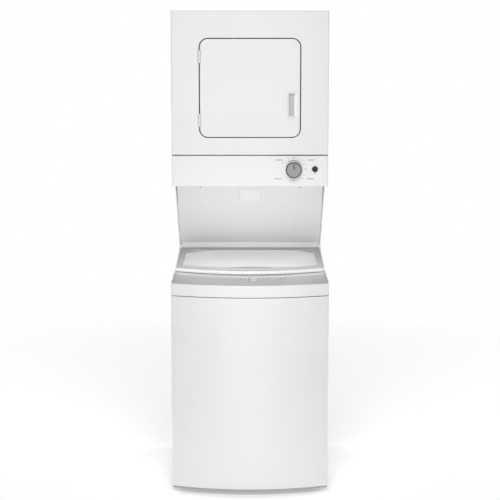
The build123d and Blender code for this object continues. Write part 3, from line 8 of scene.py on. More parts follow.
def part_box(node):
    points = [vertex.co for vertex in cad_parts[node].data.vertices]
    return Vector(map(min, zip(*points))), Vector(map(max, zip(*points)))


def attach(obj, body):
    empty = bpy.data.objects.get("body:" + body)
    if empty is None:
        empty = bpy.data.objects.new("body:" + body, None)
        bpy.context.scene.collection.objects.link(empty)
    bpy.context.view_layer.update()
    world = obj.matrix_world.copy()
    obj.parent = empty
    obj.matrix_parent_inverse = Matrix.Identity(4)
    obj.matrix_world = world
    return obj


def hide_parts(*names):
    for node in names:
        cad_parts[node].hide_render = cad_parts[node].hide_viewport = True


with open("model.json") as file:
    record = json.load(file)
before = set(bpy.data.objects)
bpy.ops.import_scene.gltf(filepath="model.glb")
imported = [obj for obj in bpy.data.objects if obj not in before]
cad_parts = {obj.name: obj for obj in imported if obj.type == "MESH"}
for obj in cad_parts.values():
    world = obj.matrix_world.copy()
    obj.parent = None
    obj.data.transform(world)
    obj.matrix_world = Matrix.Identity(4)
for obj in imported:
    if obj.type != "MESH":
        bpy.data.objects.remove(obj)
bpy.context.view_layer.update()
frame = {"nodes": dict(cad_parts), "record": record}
nodes = frame["nodes"]
print("frame loaded:", len(nodes), "pieces")

# Small helpers for node trees
def addNode(tree, kind, **settings):
    node = tree.nodes.new(kind)
    for key, value in settings.items():
        setattr(node, key, value)
    return node

def setInputs(node, **values):
    for label, value in values.items():
        node.inputs[label.replace("_", " ")].default_value = value

def wire(tree, source, node, socket):
    tree.links.new(source, node.inputs[socket])

def newFinish(name):
    mat = bpy.data.materials.new(name)
    mat.use_nodes = True
    return mat, mat.node_tree, mat.node_tree.nodes["Principled BSDF"]

def objectPlace(tree, stretch=(1, 1, 1)):
    mapping = addNode(tree, "ShaderNodeMapping")
    setInputs(mapping, Scale=stretch)
    wire(tree, addNode(tree, "ShaderNodeTexCoord").outputs["Object"], mapping, "Vector")
    return mapping.outputs["Vector"]

def noiseFrom(tree, place, scale, detail=3.0):
    noise = addNode(tree, "ShaderNodeTexNoise")
    setInputs(noise, Scale=scale, Detail=detail)
    wire(tree, place, noise, "Vector")
    return noise.outputs["Fac"]

def spread(tree, value, low, high, fromLow=0.0, fromHigh=1.0):
    node = addNode(tree, "ShaderNodeMapRange")
    setInputs(node, From_Min=fromLow, From_Max=fromHigh, To_Min=low, To_Max=high)
    wire(tree, value, node, "Value")
    return node.outputs["Result"]

# Gives the shader a colour between two tones, and a gloss that varies
def colourAndGloss(tree, shader, value, dark, light, uneven, gloss):
    tones = addNode(tree, "ShaderNodeMix", data_type="RGBA")
    setInputs(tones, A=(*dark, 1), B=(*light, 1))
    wire(tree, value, tones, "Factor")
    wire(tree, tones.outputs["Result"], shader, "Base Color")
    wire(tree, spread(tree, uneven, *gloss), shader, "Roughness")

def bumpFrom(tree, shader, height, strength, depth=0.0002):
    bump = addNode(tree, "ShaderNodeBump")
    setInputs(bump, Strength=strength, Distance=depth)
    wire(tree, height, bump, "Height")
    wire(tree, bump.outputs["Normal"], shader, "Normal")

# Paint and moulded plastic: a faint cloud in the colour, an uneven gloss and a fine skin
def paintFinish(name, dark, light, gloss, grain=700, relief=0.05, coat=0.0, cloud=7):
    mat, tree, shader = newFinish(name)
    place = objectPlace(tree)
    fine = noiseFrom(tree, place, grain)
    colourAndGloss(tree, shader, noiseFrom(tree, place, cloud), dark, light, fine, gloss)
    bumpFrom(tree, shader, fine, relief)
    setInputs(shader, Coat_Weight=coat)
    return mat

# Brushed or rolled metal: streaks along one direction in colour, gloss and relief
def brushedFinish(name, dark, light, gloss, stretch, metal=1.0, relief=0.06, grain=60, detail=4.0):
    mat, tree, shader = newFinish(name)
    setInputs(shader, Metallic=metal)
    streaks = noiseFrom(tree, objectPlace(tree, stretch), grain, detail)
    colourAndGloss(tree, shader, streaks, dark, light, streaks, gloss)
    bumpFrom(tree, shader, streaks, relief)
    return mat

# Zinc-coated sheet and castings: flat crystals of slightly different greys
def spangleFinish(name, dark, light, gloss, size, metal=0.85, grain=400, relief=0.04):
    mat, tree, shader = newFinish(name)
    setInputs(shader, Metallic=metal)
    place = objectPlace(tree)
    cells = addNode(tree, "ShaderNodeTexVoronoi")
    setInputs(cells, Scale=size)
    wire(tree, place, cells, "Vector")
    tone = addNode(tree, "ShaderNodeSeparateColor")
    wire(tree, cells.outputs["Color"], tone, "Color")
    colourAndGloss(tree, shader, tone.outputs["Red"], dark, light, tone.outputs["Green"], gloss)
    bumpFrom(tree, shader, noiseFrom(tree, place, grain), relief)
    return mat

# The lid's grey darkens towards its hinge as painted shade from the dryer above, over a reach from front to
# back
def lidShadeFinish(name, hinge, front, reach, gloss, grain=1300, relief=0.05):
    mat, tree, shader = newFinish(name)
    place = objectPlace(tree)
    fine = noiseFrom(tree, place, grain)
    axes = addNode(tree, "ShaderNodeSeparateXYZ")
    wire(tree, place, axes, "Vector")
    share = spread(tree, axes.outputs["Y"], 0, 1, *reach)
    colourAndGloss(tree, shader, share, front, hinge, fine, gloss)
    bumpFrom(tree, shader, fine, relief)
    return mat

# Safety glass: pale, glossy and partly see-through, with a faint cloud of frosting
def paneFinish(name, dark, light, gloss, cloud=14, grain=500, cover=0.8):
    mat, tree, shader = newFinish(name)
    place = objectPlace(tree)
    cloudy, fine = noiseFrom(tree, place, cloud), noiseFrom(tree, place, grain)
    colourAndGloss(tree, shader, cloudy, dark, light, fine, gloss)
    setInputs(shader, Alpha=cover)
    return mat

# Finishes by the record's slots, then those of the trim
finishes = {
    # the lid's grey fades from front to hinge: painted shade
    "lid_grey": lidShadeFinish("lidGrey", (0.27, 0.275, 0.28), (0.53, 0.535, 0.54), (-0.26, 0.10), (0.28, 0.40)),
    "silver_fascia": brushedFinish("fasciaSilver", (0.64, 0.64, 0.645), (0.71, 0.71, 0.715), (0.26, 0.38),
                                   (1, 40, 40), metal=0.45),
    "display_window": brushedFinish("displayWindow", (0.63, 0.63, 0.635), (0.70, 0.70, 0.705), (0.18, 0.28),
                                    (1, 40, 40), metal=0.45),
    "stainless": brushedFinish("stainless", (0.55, 0.55, 0.56), (0.66, 0.66, 0.665), (0.2, 0.36), (1, 1, 30)),
    "zinc_steel": spangleFinish("zincSteel", (0.42, 0.43, 0.45), (0.58, 0.59, 0.60), (0.25, 0.45), 600),
    "cast_alloy": spangleFinish("castAlloy", (0.42, 0.42, 0.43), (0.55, 0.55, 0.56), (0.4, 0.6), 900),
    "galvanised": spangleFinish("galvanised", (0.51, 0.53, 0.54), (0.60, 0.62, 0.63), (0.34, 0.48), 120),
    "pane_glass": paneFinish("paneGlass", (0.81, 0.815, 0.81), (0.86, 0.865, 0.86), (0.05, 0.11)),
    "knobRim": brushedFinish("knobRim", (0.05, 0.05, 0.053), (0.09, 0.09, 0.094), (0.25, 0.4), (1, 30, 1),
                             metal=0.6),
}
# Each paint: dark and light tone, gloss from and to, fineness of the skin, relief and coat
paints = {
    "white_enamel": ((0.80, 0.80, 0.80), (0.83, 0.83, 0.825), (0.20, 0.30), 700, 0.05, 0.3),
    "white_plastic": ((0.80, 0.80, 0.795), (0.83, 0.83, 0.82), (0.30, 0.42), 1100),
    "knob_grey": ((0.28, 0.28, 0.285), (0.33, 0.33, 0.335), (0.28, 0.42)),
    "black_plastic": ((0.015, 0.015, 0.016), (0.03, 0.03, 0.032), (0.35, 0.5), 1500),
    "pull_grey": ((0.90, 0.90, 0.90), (0.93, 0.93, 0.93), (0.35, 0.48), 1500),
    "hinge_white": ((0.73, 0.73, 0.73), (0.78, 0.78, 0.775), (0.2, 0.3)),
    "dark_base": ((0.36, 0.36, 0.365), (0.41, 0.41, 0.415), (0.4, 0.55), 1200),
    "tub_plastic": ((0.66, 0.67, 0.66), (0.72, 0.73, 0.72), (0.4, 0.55), 900),
    "belt_rubber": ((0.02, 0.02, 0.02), (0.035, 0.035, 0.035), (0.6, 0.75), 1500, 0.2),
    "foot_rubber": ((0.025, 0.025, 0.026), (0.04, 0.04, 0.041), (0.55, 0.7), 1500, 0.2),
    "greyInk": ((0.13, 0.13, 0.135), (0.18, 0.18, 0.185), (0.5, 0.6)),
    "paleInk": ((0.42, 0.42, 0.425), (0.48, 0.48, 0.485), (0.5, 0.6)),
    "litInk": ((0.93, 0.93, 0.93), (0.97, 0.97, 0.97), (0.4, 0.5)),
    # the knob pointer's dark grey: painted shade in its slot
    "knobShade": ((0.13, 0.13, 0.135), (0.17, 0.17, 0.175), (0.3, 0.45)),
    # near-black discs in the basket's and drum's holes: painted shade
    "dyedPit": ((0.03, 0.03, 0.032), (0.05, 0.05, 0.052), (0.6, 0.8)),
    "sealGrey": ((0.24, 0.24, 0.245), (0.30, 0.30, 0.305), (0.6, 0.75), 1400, 0.15),
    "rimGrey": ((0.74, 0.74, 0.74), (0.78, 0.78, 0.78), (0.4, 0.55), 1500),
    # lighter face of the stand's blank plate: painted highlight
    "plateWhite": ((0.84, 0.84, 0.84), (0.86, 0.86, 0.855), (0.45, 0.55)),
    # the darker grey of the pull's pocket floor: painted shade
    "padGrey": ((0.50, 0.50, 0.50), (0.55, 0.55, 0.55), (0.4, 0.55), 1500),
    "buttonBlack": ((0.004, 0.004, 0.004), (0.009, 0.009, 0.009), (0.40, 0.52)),
    # dark grey of the pane's corner slivers and finger-hold crescent: painted shade
    "paneShade": ((0.20, 0.205, 0.21), (0.25, 0.255, 0.26), (0.12, 0.2)),
    # whiter plastic of the lid's nose and the pull's lip, also the painted highlight of the fascia's and the
    # pane's beads
    "noseWhite": ((0.90, 0.90, 0.90), (0.93, 0.93, 0.925), (0.22, 0.34), 1300),
    "signGrey": ((0.30, 0.30, 0.305), (0.35, 0.35, 0.355), (0.4, 0.5)),
    "hotMark": ((0.42, 0.05, 0.04), (0.50, 0.07, 0.055), (0.35, 0.5)),
    "coldMark": ((0.04, 0.10, 0.36), (0.06, 0.13, 0.44), (0.35, 0.5)),
}
for key, values in paints.items():
    first, *others = key.split("_")
    finishes[key] = paintFinish(first + "".join(others).title(), *values)
slotOf = {part["node"]: part["material_slot"] for part in frame["record"]["subparts"]}
for node, obj in nodes.items():
    obj.data.materials.clear()
    obj.data.materials.append(finishes[slotOf[node]])
nodes["lid_nose"].data.materials[0] = finishes["noseWhite"]
print("finishes set:", len(finishes))

# Small helpers for meshes
def moved(x, y, z):
    return Matrix.Translation((x, y, z))

def linkObject(name, data):
    obj = bpy.data.objects.new(name, data)
    bpy.context.scene.collection.objects.link(obj)
    return obj

# The plain mesh of a helper object, which is then removed
def bakeMesh(obj):
    depsgraph = bpy.context.evaluated_depsgraph_get()
    mesh = bpy.data.meshes.new_from_object(obj.evaluated_get(depsgraph))
    bpy.data.objects.remove(obj)
    return mesh

def onCircle(radius, turn):
    return radius * math.cos(turn), radius * math.sin(turn)

def toMesh(name, bm):
    bmesh.ops.recalc_face_normals(bm, faces=bm.faces)
    mesh = bpy.data.meshes.new(name)
    bm.to_mesh(mesh)
    bm.free()
    return mesh

# Faces between two closed rings of points; a pole is a ring of one
def bridge(bm, lower, upper):
    count = max(len(lower), len(upper))
    for step in range(count):
        after = (step + 1) % count
        corners = [lower[step % len(lower)], lower[after % len(lower)],
                   upper[after % len(upper)], upper[step % len(upper)]]
        corners = list(dict.fromkeys(corners))
        if len(corners) > 2:
            bm.faces.new(corners)

# A mesh turned about its own Z from (radius, height) pairs; a radius of 0 closes it at a pole
def turnedMesh(name, profile, segments=72, closed=False):
    bm = bmesh.new()
    rings = []
    for radius, height in profile:
        count = segments if radius > 0 else 1
        turns = [2 * math.pi * step / segments for step in range(count)]
        rings.append([bm.verts.new((*onCircle(radius, turn), height)) for turn in turns])
    pairs = list(zip(rings, rings[1:]))
    if closed:
        pairs.append((rings[-1], rings[0]))
    for lower, upper in pairs:
        bridge(bm, lower, upper)
    return toMesh(name, bm)

# A ring of oval section about its own Z
def ovalRing(name, radius, wide, deep, steps):
    turns = [2 * math.pi * step / steps for step in range(steps)]
    profile = [(radius + wide * math.cos(turn), deep * math.sin(turn)) for turn in turns]
    return turnedMesh(name, profile, 96, closed=True)

def roundedOutline(width, height, corner, steps=6):
    points = []
    for quarter, (sx, sy) in enumerate(((1, 1), (-1, 1), (-1, -1), (1, -1))):
        for step in range(steps + 1):
            turn = math.pi / 2 * (quarter + step / steps)
            points.append((sx * (width / 2 - corner) + corner * math.cos(turn),
                           sy * (height / 2 - corner) + corner * math.sin(turn)))
    return points

# A slab with softened edges, from z = 0 up, on a closed outline
def slabMesh(name, outline, thickness, soften=0.0):
    bm = bmesh.new()
    lower = [bm.verts.new((x, y, 0)) for x, y in outline]
    upper = [bm.verts.new((x, y, thickness)) for x, y in outline]
    bm.faces.new(lower)
    top = bm.faces.new(upper)
    bridge(bm, lower, upper)
    if soften:
        bmesh.ops.bevel(bm, geom=list(top.edges), offset=soften, segments=3, profile=0.5, affect="EDGES")
    return toMesh(name, bm)

def joinMeshes(name, meshes):
    bm = bmesh.new()
    for mesh in meshes:
        bm.from_mesh(mesh)
    whole = bpy.data.meshes.new(name)
    bm.to_mesh(whole)
    bm.free()
    return whole

def carve(mesh, cutter):
    host, tool = linkObject("carveHost", mesh), linkObject("carveTool", cutter)
    cut = host.modifiers.new("cut", "BOOLEAN")
    cut.operation = "DIFFERENCE"
    cut.object = tool
    result = bakeMesh(host)
    bpy.data.objects.remove(tool)
    return result

# A flat frame: a slab with a window cut right through it
def frameMesh(name, outer, inner, thickness, soften=0.0):
    window = slabMesh("window", inner, 3 * thickness)
    window.transform(moved(0, 0, -thickness))
    return carve(slabMesh(name, outer, thickness, soften), window)

# Local Z comes out of the front (or the back) at a place, local Y is up
def frontPlace(x, y, z):
    return Matrix(((1, 0, 0, x), (0, 0, -1, y), (0, 1, 0, z), (0, 0, 0, 1)))

def backPlace(x, y, z):
    return Matrix(((-1, 0, 0, x), (0, 0, 1, y), (0, 1, 0, z), (0, 0, 0, 1)))

# The middle of a CAD piece, seen from the front
def middleOf(node):
    low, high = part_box(node)
    return (low.x + high.x) / 2, (low.z + high.z) / 2

# Makes a piece of one or more finished meshes that moves with a body; edges sharper than sharpDeg stay crisp
def putPiece(name, mesh, body, slot, finish=None, place=None, sharpDeg=35):
    if isinstance(mesh, (list, tuple)):
        mesh = joinMeshes(name, mesh)
    if place is not None:
        mesh.transform(place)
    if finish or not mesh.materials:
        mesh.materials.clear()
        mesh.materials.append(finishes[finish or slot])
    mesh.shade_smooth()
    mesh.set_sharp_from_angle(angle=math.radians(sharpDeg))
    obj = linkObject(name, mesh)
    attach(obj, body)
    return obj

# Small helpers for Geometry Nodes
def newTree(name, **inputs):
    tree = bpy.data.node_groups.new(name, "GeometryNodeTree")
    tree.interface.new_socket("Geometry", in_out="INPUT", socket_type="NodeSocketGeometry")
    for label, kind in inputs.items():
        tree.interface.new_socket(label, in_out="INPUT", socket_type="NodeSocket" + kind)
    tree.interface.new_socket("Finish", in_out="INPUT", socket_type="NodeSocketMaterial")
    tree.interface.new_socket("Geometry", in_out="OUTPUT", socket_type="NodeSocketGeometry")
    return tree, addNode(tree, "NodeGroupInput").outputs, addNode(tree, "NodeGroupOutput")

# Numbers are set on a node's inputs in turn, and sockets are wired to them
def feed(tree, node, values):
    for socket, value in zip(node.inputs, values):
        if isinstance(value, (int, float)):
            socket.default_value = value
        elif value is not None:
            tree.links.new(value, socket)
    return node.outputs[0]

def mathNode(tree, operation, first, second=None):
    return feed(tree, addNode(tree, "ShaderNodeMath", operation=operation), (first, second))

def vectorNode(tree, x=None, y=None, z=None):
    return feed(tree, addNode(tree, "ShaderNodeCombineXYZ"), (x, y, z))

# Points round the Z axis, each at its own turn and height
def circlePoints(tree, count, turn, radius, up=None):
    across = mathNode(tree, "MULTIPLY", mathNode(tree, "COSINE", turn), radius)
    along = mathNode(tree, "MULTIPLY", mathNode(tree, "SINE", turn), radius)
    points = addNode(tree, "GeometryNodePoints")
    wire(tree, count, points, "Count")
    wire(tree, vectorNode(tree, across, along, up), points, "Position")
    return points.outputs["Geometry"]

def barMember(tree, entry):
    bar = addNode(tree, "GeometryNodeMeshCube")
    wire(tree, entry["Size"], bar, "Size")
    return bar.outputs["Mesh"]

def holeMember(tree, entry, sides=10):
    hole = addNode(tree, "GeometryNodeMeshCylinder")
    setInputs(hole, Vertices=sides)
    wire(tree, entry["Hole"], hole, "Radius")
    wire(tree, entry["Depth"], hole, "Depth")
    return hole.outputs["Mesh"]

# Closes a tree: members on points, made real, with their finish
def closeTree(tree, entry, leave, points, member, turn=None, chosen=None):
    spots = addNode(tree, "GeometryNodeInstanceOnPoints")
    sources = {"Points": points, "Instance": member, "Rotation": turn, "Selection": chosen}
    for socket, source in sources.items():
        if source is not None:
            wire(tree, source, spots, socket)
    real = addNode(tree, "GeometryNodeRealizeInstances")
    paint = addNode(tree, "GeometryNodeSetMaterial")
    wire(tree, spots.outputs["Instances"], real, "Geometry")
    wire(tree, real.outputs["Geometry"], paint, "Geometry")
    wire(tree, entry["Finish"], paint, "Material")
    wire(tree, paint.outputs["Geometry"], leave, "Geometry")
    return tree

# Bars set round a circle, each pointing outwards
def barRingTree():
    tree, entry, leave = newTree("barRing", Count="Int", Radius="Float", Start="Float", Step="Float",
                                 Size="Vector")
    index = addNode(tree, "GeometryNodeInputIndex").outputs["Index"]
    turn = mathNode(tree, "ADD", entry["Start"], mathNode(tree, "MULTIPLY", index, entry["Step"]))
    points = circlePoints(tree, entry["Count"], turn, entry["Radius"])
    return closeTree(tree, entry, leave, points, barMember(tree, entry), vectorNode(tree, z=turn))

# Bars in a row
def barRowTree():
    tree, entry, leave = newTree("barRow", Count="Int", Pitch="Vector", Size="Vector")
    row = addNode(tree, "GeometryNodeMeshLine")
    wire(tree, entry["Count"], row, "Count")
    wire(tree, entry["Pitch"], row, "Offset")
    return closeTree(tree, entry, leave, row.outputs["Mesh"], barMember(tree, entry))

# Pierced holes round an upright cylinder, drawn as dark discs of painted shade, every second row set over by
# half a pitch
def holeWrapTree():
    tree, entry, leave = newTree("holeWrap", Columns="Int", Rows="Int", Radius="Float", Rise="Float",
                                 Hole="Float", Depth="Float")
    columns = entry["Columns"]
    index = addNode(tree, "GeometryNodeInputIndex").outputs["Index"]
    row = mathNode(tree, "FLOOR", mathNode(tree, "DIVIDE", index, columns))
    column = mathNode(tree, "ADD", index, mathNode(tree, "MULTIPLY", row, 0.5))
    turn = mathNode(tree, "DIVIDE", mathNode(tree, "MULTIPLY", column, 2 * math.pi), columns)
    up = mathNode(tree, "MULTIPLY", row, entry["Rise"])
    count = mathNode(tree, "MULTIPLY", columns, entry["Rows"])
    points = circlePoints(tree, count, turn, entry["Radius"], up)
    aim = vectorNode(tree, 0, math.pi / 2, turn)
    return closeTree(tree, entry, leave, points, holeMember(tree, entry), aim)

# Pierced holes on a flat patch, drawn as dark discs of painted shade, kept inside a circle
def holePatchTree():
    tree, entry, leave = newTree("holePatch", Side="Float", Count="Int", Reach="Float", Hole="Float",
                                 Depth="Float")
    grid = addNode(tree, "GeometryNodeMeshGrid")
    for axis in "XY":
        wire(tree, entry["Side"], grid, "Size " + axis)
        wire(tree, entry["Count"], grid, "Vertices " + axis)
    place = addNode(tree, "GeometryNodeInputPosition").outputs["Position"]
    length = addNode(tree, "ShaderNodeVectorMath", operation="LENGTH")
    wire(tree, place, length, 0)
    near = addNode(tree, "FunctionNodeCompare", operation="LESS_THAN")
    wire(tree, length.outputs["Value"], near, "A")
    wire(tree, entry["Reach"], near, "B")
    hole = holeMember(tree, entry)
    return closeTree(tree, entry, leave, grid.outputs["Mesh"], hole, chosen=near.outputs["Result"])

# One made member on every point of a mesh, turned to the point's own facing
def memberTree():
    tree, entry, leave = newTree("memberOnPoints", Member="Object")
    info = addNode(tree, "GeometryNodeObjectInfo")
    wire(tree, entry["Member"], info, "Object")
    facing = addNode(tree, "GeometryNodeInputNamedAttribute", data_type="FLOAT_VECTOR")
    setInputs(facing, Name="facing")
    aim = addNode(tree, "FunctionNodeAlignRotationToVector", axis="Z")
    wire(tree, facing.outputs["Attribute"], aim, "Vector")
    member = info.outputs["Geometry"]
    return closeTree(tree, entry, leave, entry["Geometry"], member, aim.outputs["Rotation"])

trees = {"barRing": barRingTree(), "barRow": barRowTree(), "holeWrap": holeWrapTree(),
         "holePatch": holePatchTree(), "member": memberTree()}

# Runs a tree and gives back its plain mesh, put in place
def runTree(kind, settings, finish, place=None, seed=None):
    host = linkObject("treeHost", seed or bpy.data.meshes.new("treeSeed"))
    modifier = host.modifiers.new("nodes", "NODES")
    modifier.node_group = trees[kind]
    values = dict(settings, Finish=finishes[finish])
    for item in trees[kind].interface.items_tree:
        if item.in_out == "INPUT" and item.name in values:
            modifier[item.identifier] = values[item.name]
    mesh = bakeMesh(host)
    if place is not None:
        mesh.transform(place)
    return mesh

# A piece of the cabinet: one member on a list of (place, facing) spots
def putOnSpots(name, member, spots, slot):
    seed = bpy.data.meshes.new("spots")
    seed.from_pydata([spot for spot, facing in spots], [], [])
    attribute = seed.attributes.new("facing", "FLOAT_VECTOR", "POINT")
    for item, (spot, facing) in zip(attribute.data, spots):
        item.vector = facing
    model = linkObject("member", member)
    mesh = runTree("member", {"Member": model}, slot, seed=seed)
    bpy.data.objects.remove(model)
    return putPiece(name, mesh, "cabinet", slot)

print("helpers and", len(trees), "node trees ready")

# Timer knob: a pale skirt, a ridged body with a dark rim, and a turned face with a pointer let into a slot;
# the pointer's dark grey is painted shade in the slot
knob = {"height": 0.022, "skirtThick": 0.0020, "skirtEdge": 0.0006, "bodyRadius": 0.0304,
        "faceRadius": 0.0268, "faceGap": 0.0003, "faceThick": 0.0030, "slotWidth": 0.0090,
        "slotLength": 0.0240, "slotDepth": 0.0026, "pointerWidth": 0.0072, "pointerSink": 0.0009,
        "pointerEdge": 0.0005, "pointerFrom": 0.0012, "pointerEnd": 0.0010, "pointerGap": 0.0002,
        "ridges": 64, "ridgeSize": (0.0008, 0.0010, 0.0140), "ridgeSink": 0.0003, "ridgeMiddle": 0.0105,
        "markWidth": 0.0026, "markEnds": 0.0008, "markThick": 0.0005, "shaftRadius": 0.0030,
        "shaftEdge": 0.0004, "shaftFrom": -0.024, "shaftTo": 0.001}

def makeKnob():
    low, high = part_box("timer_knob")
    x, z = middleOf("timer_knob")
    skirt, height, body, face = (high.x - low.x) / 2, knob["height"], knob["bodyRadius"], knob["faceRadius"]
    edge, thick = knob["skirtEdge"], knob["skirtThick"]
    skirtMesh = turnedMesh("knobSkirt", (
        (0, 0), (skirt - edge, 0), (skirt, edge), (skirt, thick - edge), (skirt - edge, thick),
        (0, thick)), 96)
    bodyMesh = turnedMesh("knobBody", (
        (0, thick / 2), (body, thick / 2), (body - 0.0006, height - 0.0022),
        (body - 0.0011, height - 0.0008), (body - 0.0022, height - 0.0002),
        (face + 0.0006, height - 0.0002), (face, height - 0.0008), (face, height - 0.0034),
        (0, height - 0.0034)), 96)
    rim, seat = face - knob["faceGap"], height - knob["faceThick"]
    faceMesh = turnedMesh("knobFace", (
        (0, seat), (rim, seat), (rim, height - 0.0006), (rim - 0.0007, height - 0.0001),
        (face * 0.5, height - 0.0003), (0, height - 0.0004)), 96)
    wide, tall = knob["slotWidth"], knob["slotLength"]
    slot = slabMesh("slot", roundedOutline(wide, 2 * tall, wide / 2.01), 2 * knob["slotDepth"])
    slot.transform(moved(0, tall - 0.0005, height - knob["slotDepth"]))
    faceMesh = carve(faceMesh, slot)
    narrow, start = knob["pointerWidth"], knob["pointerFrom"]
    length = face - start - knob["pointerEnd"]
    pointer = slabMesh("pointer", roundedOutline(narrow, length, narrow / 2.01),
                       knob["slotDepth"] - knob["pointerSink"], knob["pointerEdge"])
    pointer.transform(moved((wide - narrow) / 2 - knob["pointerGap"], length / 2 + start, seat))
    ridges = runTree("barRing", {"Count": knob["ridges"], "Radius": body - knob["ridgeSink"], "Start": 0.0,
                                 "Step": 2 * math.pi / knob["ridges"], "Size": knob["ridgeSize"]}, "knobRim",
                     moved(0, 0, knob["ridgeMiddle"]))
    outline = roundedOutline(knob["markWidth"], body - face - 2 * knob["markEnds"], 0.0006)
    mark = slabMesh("mark", outline, knob["markThick"], 0.0002)
    mark.transform(moved(0, (body + face - knob["markEnds"]) / 2, height - 0.0006))
    radius, soft, start, end = (knob[key] for key in ("shaftRadius", "shaftEdge", "shaftFrom", "shaftTo"))
    shaft = turnedMesh("knobShaft", (
        (0, start), (radius - soft, start), (radius, start + soft), (radius, end), (0, end)), 24)
    layers = (("timerKnob", (skirtMesh, shaft), "white_plastic"), ("knobBody", bodyMesh, "knobRim"),
              ("knobRidges", ridges, "knobRim"), ("knobFace", faceMesh, "knob_grey"),
              ("knobPointer", pointer, "knobShade"), ("knobMark", mark, "litInk"))
    for name, mesh, finish in layers:
        piece = putPiece(name, mesh, "knob", "knob_grey", finish, frontPlace(x, low.y + height, z))
        if name == "timerKnob":
            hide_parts("timer_knob")

makeKnob()

# Start button: a dished black cap with a flange behind the console, inside a raised white ring
button = {"radius": 0.0108, "stand": 0.005, "skin": 0.002, "flange": 0.002, "dish": 0.0012,
          "ringInner": 0.0114, "ringOuter": 0.0142, "ringStand": 0.0012, "ringSink": 0.0005}

def makeButton():
    low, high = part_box("start_button")
    x, z = middleOf("start_button")
    length, flange, radius = high.y - low.y, (high.x - low.x) / 2, button["radius"]
    stop = length - button["stand"] - button["skin"]
    behind, dish = stop - button["flange"], length - button["dish"]
    cap = turnedMesh("startButton", (
        (0, 0), (radius, 0), (radius, behind), (flange, behind), (flange, stop), (radius, stop),
        (radius, length - 0.0012), (radius - 0.0005, length - 0.0003), (radius - 0.0013, length),
        (radius - 0.0024, length - 0.0002), (radius * 0.45, dish), (0, dish - 0.0001)), 64)
    piece = putPiece("startButton", cap, "button", "black_plastic", "buttonBlack", frontPlace(x, high.y, z))
    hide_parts("start_button")
    inner, outer, rise, sink = (button[key] for key in ("ringInner", "ringOuter", "ringStand", "ringSink"))
    profile = ((inner, -sink), (inner, rise - 0.0004), (inner + 0.0004, rise), (outer - 0.0010, rise),
               (outer, 0.0002), (outer, -sink))
    ring = turnedMesh("buttonRing", profile, 64, closed=True)
    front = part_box("dryer_console")[0].y
    putPiece("buttonRing", ring, "cabinet", "white_plastic", place=frontPlace(x, front, z))

makeButton()
print("knob and button made")

# Print on the console: a scale, plain numbers, level marks and dashes, and a dark arc of painted reflection
# over the knob, placed in mm from the knob; ticks have a start and a step in degrees, and a count
scale = {"ticks": ((188, 16.2, 5), (118, 17.0, 2), (28, -14.0, 1)), "tickRadius": 0.0440,
         "tickSize": (0.0036, 0.0010, 0.0003), "textHeight": 0.0054, "textBold": 0.0001, "proud": 0.00025,
         "numbers": (("OFF", 0, 45.7), ("30", 44.9, 3.1), ("60", 0, -39.6), ("90", -42.2, 26.0),
                     ("ON", 81.3, -14.0)),
         "arcRadius": 0.0350, "arcWidth": 0.0018, "arcEnds": 0.12, "arcDeg": (24, 158), "arcSteps": 48,
         "levels": ((-66, 37.0), (56, 37.0), (-70, -34.6), (53, -34.6)),
         "levelRow": {"Count": 6, "Pitch": (0.0044, 0, 0), "Size": (0.0026, 0.0036, 0.0003)},
         "dashes": ((36.2, 36.2), (48.0, 21.3), (44.1, -19.7), (31.5, -33.0)),
         "dashRow": {"Count": 1, "Pitch": (0, 0, 0), "Size": (0.0110, 0.0012, 0.0003)}}

def textMesh(words):
    curve = bpy.data.curves.new("letters", "FONT")
    curve.body = words
    curve.size = scale["textHeight"]
    curve.align_x, curve.align_y = "CENTER", "CENTER"
    curve.extrude = scale["proud"]
    curve.offset = scale["textBold"]
    return bakeMesh(linkObject("letters", curve))

# A dark line round the top of the knob, widest in the middle: a painted reflection of the skirt's upper edge,
# laid on the console
def reflectionArcMesh():
    start, end = (math.radians(turn) for turn in scale["arcDeg"])
    radius, ends = scale["arcRadius"], scale["arcEnds"]
    inner, outer = [], []
    for step in range(scale["arcSteps"] + 1):
        share = step / scale["arcSteps"]
        turn = start + (end - start) * share
        reach = radius + scale["arcWidth"] * (ends + (1 - ends) * math.sin(math.pi * share))
        inner.append(onCircle(radius, turn))
        outer.append(onCircle(reach, turn))
    return slabMesh("arc", outer + inner[::-1], scale["proud"])

def printConsole():
    x, z = middleOf("timer_knob")
    place = frontPlace(x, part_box("dryer_console")[0].y, z)

    def spot(across, up):
        return place @ moved(across / 1000, up / 1000, 0)

    dark = []
    for start, step, count in scale["ticks"]:
        ring = {"Count": count, "Radius": scale["tickRadius"], "Start": math.radians(start),
                "Step": math.radians(step), "Size": scale["tickSize"]}
        dark.append(runTree("barRing", ring, "greyInk", place))
    for words, across, up in scale["numbers"]:
        dark.append(textMesh(words))
        dark[-1].transform(spot(across, up))
    # the dark arc over the knob is painted reflection
    dark.append(reflectionArcMesh())
    dark[-1].transform(place)
    dark += [runTree("barRow", scale["levelRow"], "greyInk", spot(*at)) for at in scale["levels"]]
    pale = [runTree("barRow", scale["dashRow"], "paleInk", spot(*at)) for at in scale["dashes"]]
    putPiece("consolePrint", dark, "cabinet", "black_plastic", "greyInk")
    putPiece("consoleLevels", pale, "cabinet", "black_plastic", "paleInk")

printConsole()
print("console printed")

# Door pull: a pale grey rim, a white lip on the right and a darker pad on the pocket's floor, whose grey is
# painted shade for the recess
pull = {"rim": 0.0062, "corner": 0.0024, "innerCorner": 0.0012, "proud": 0.0005, "edge": 0.0004,
        "lip": 0.0076, "lipInset": 0.0010, "lipEnds": 0.0085, "lipCorner": 0.0016, "lipStand": 0.0022,
        "lipEdge": 0.0010, "lipSink": 0.0008, "padX": (-0.0112, 0.0068), "padHeight": 0.0790,
        "padCorner": 0.0020, "padDepth": 0.0152, "padRise": 0.0009}

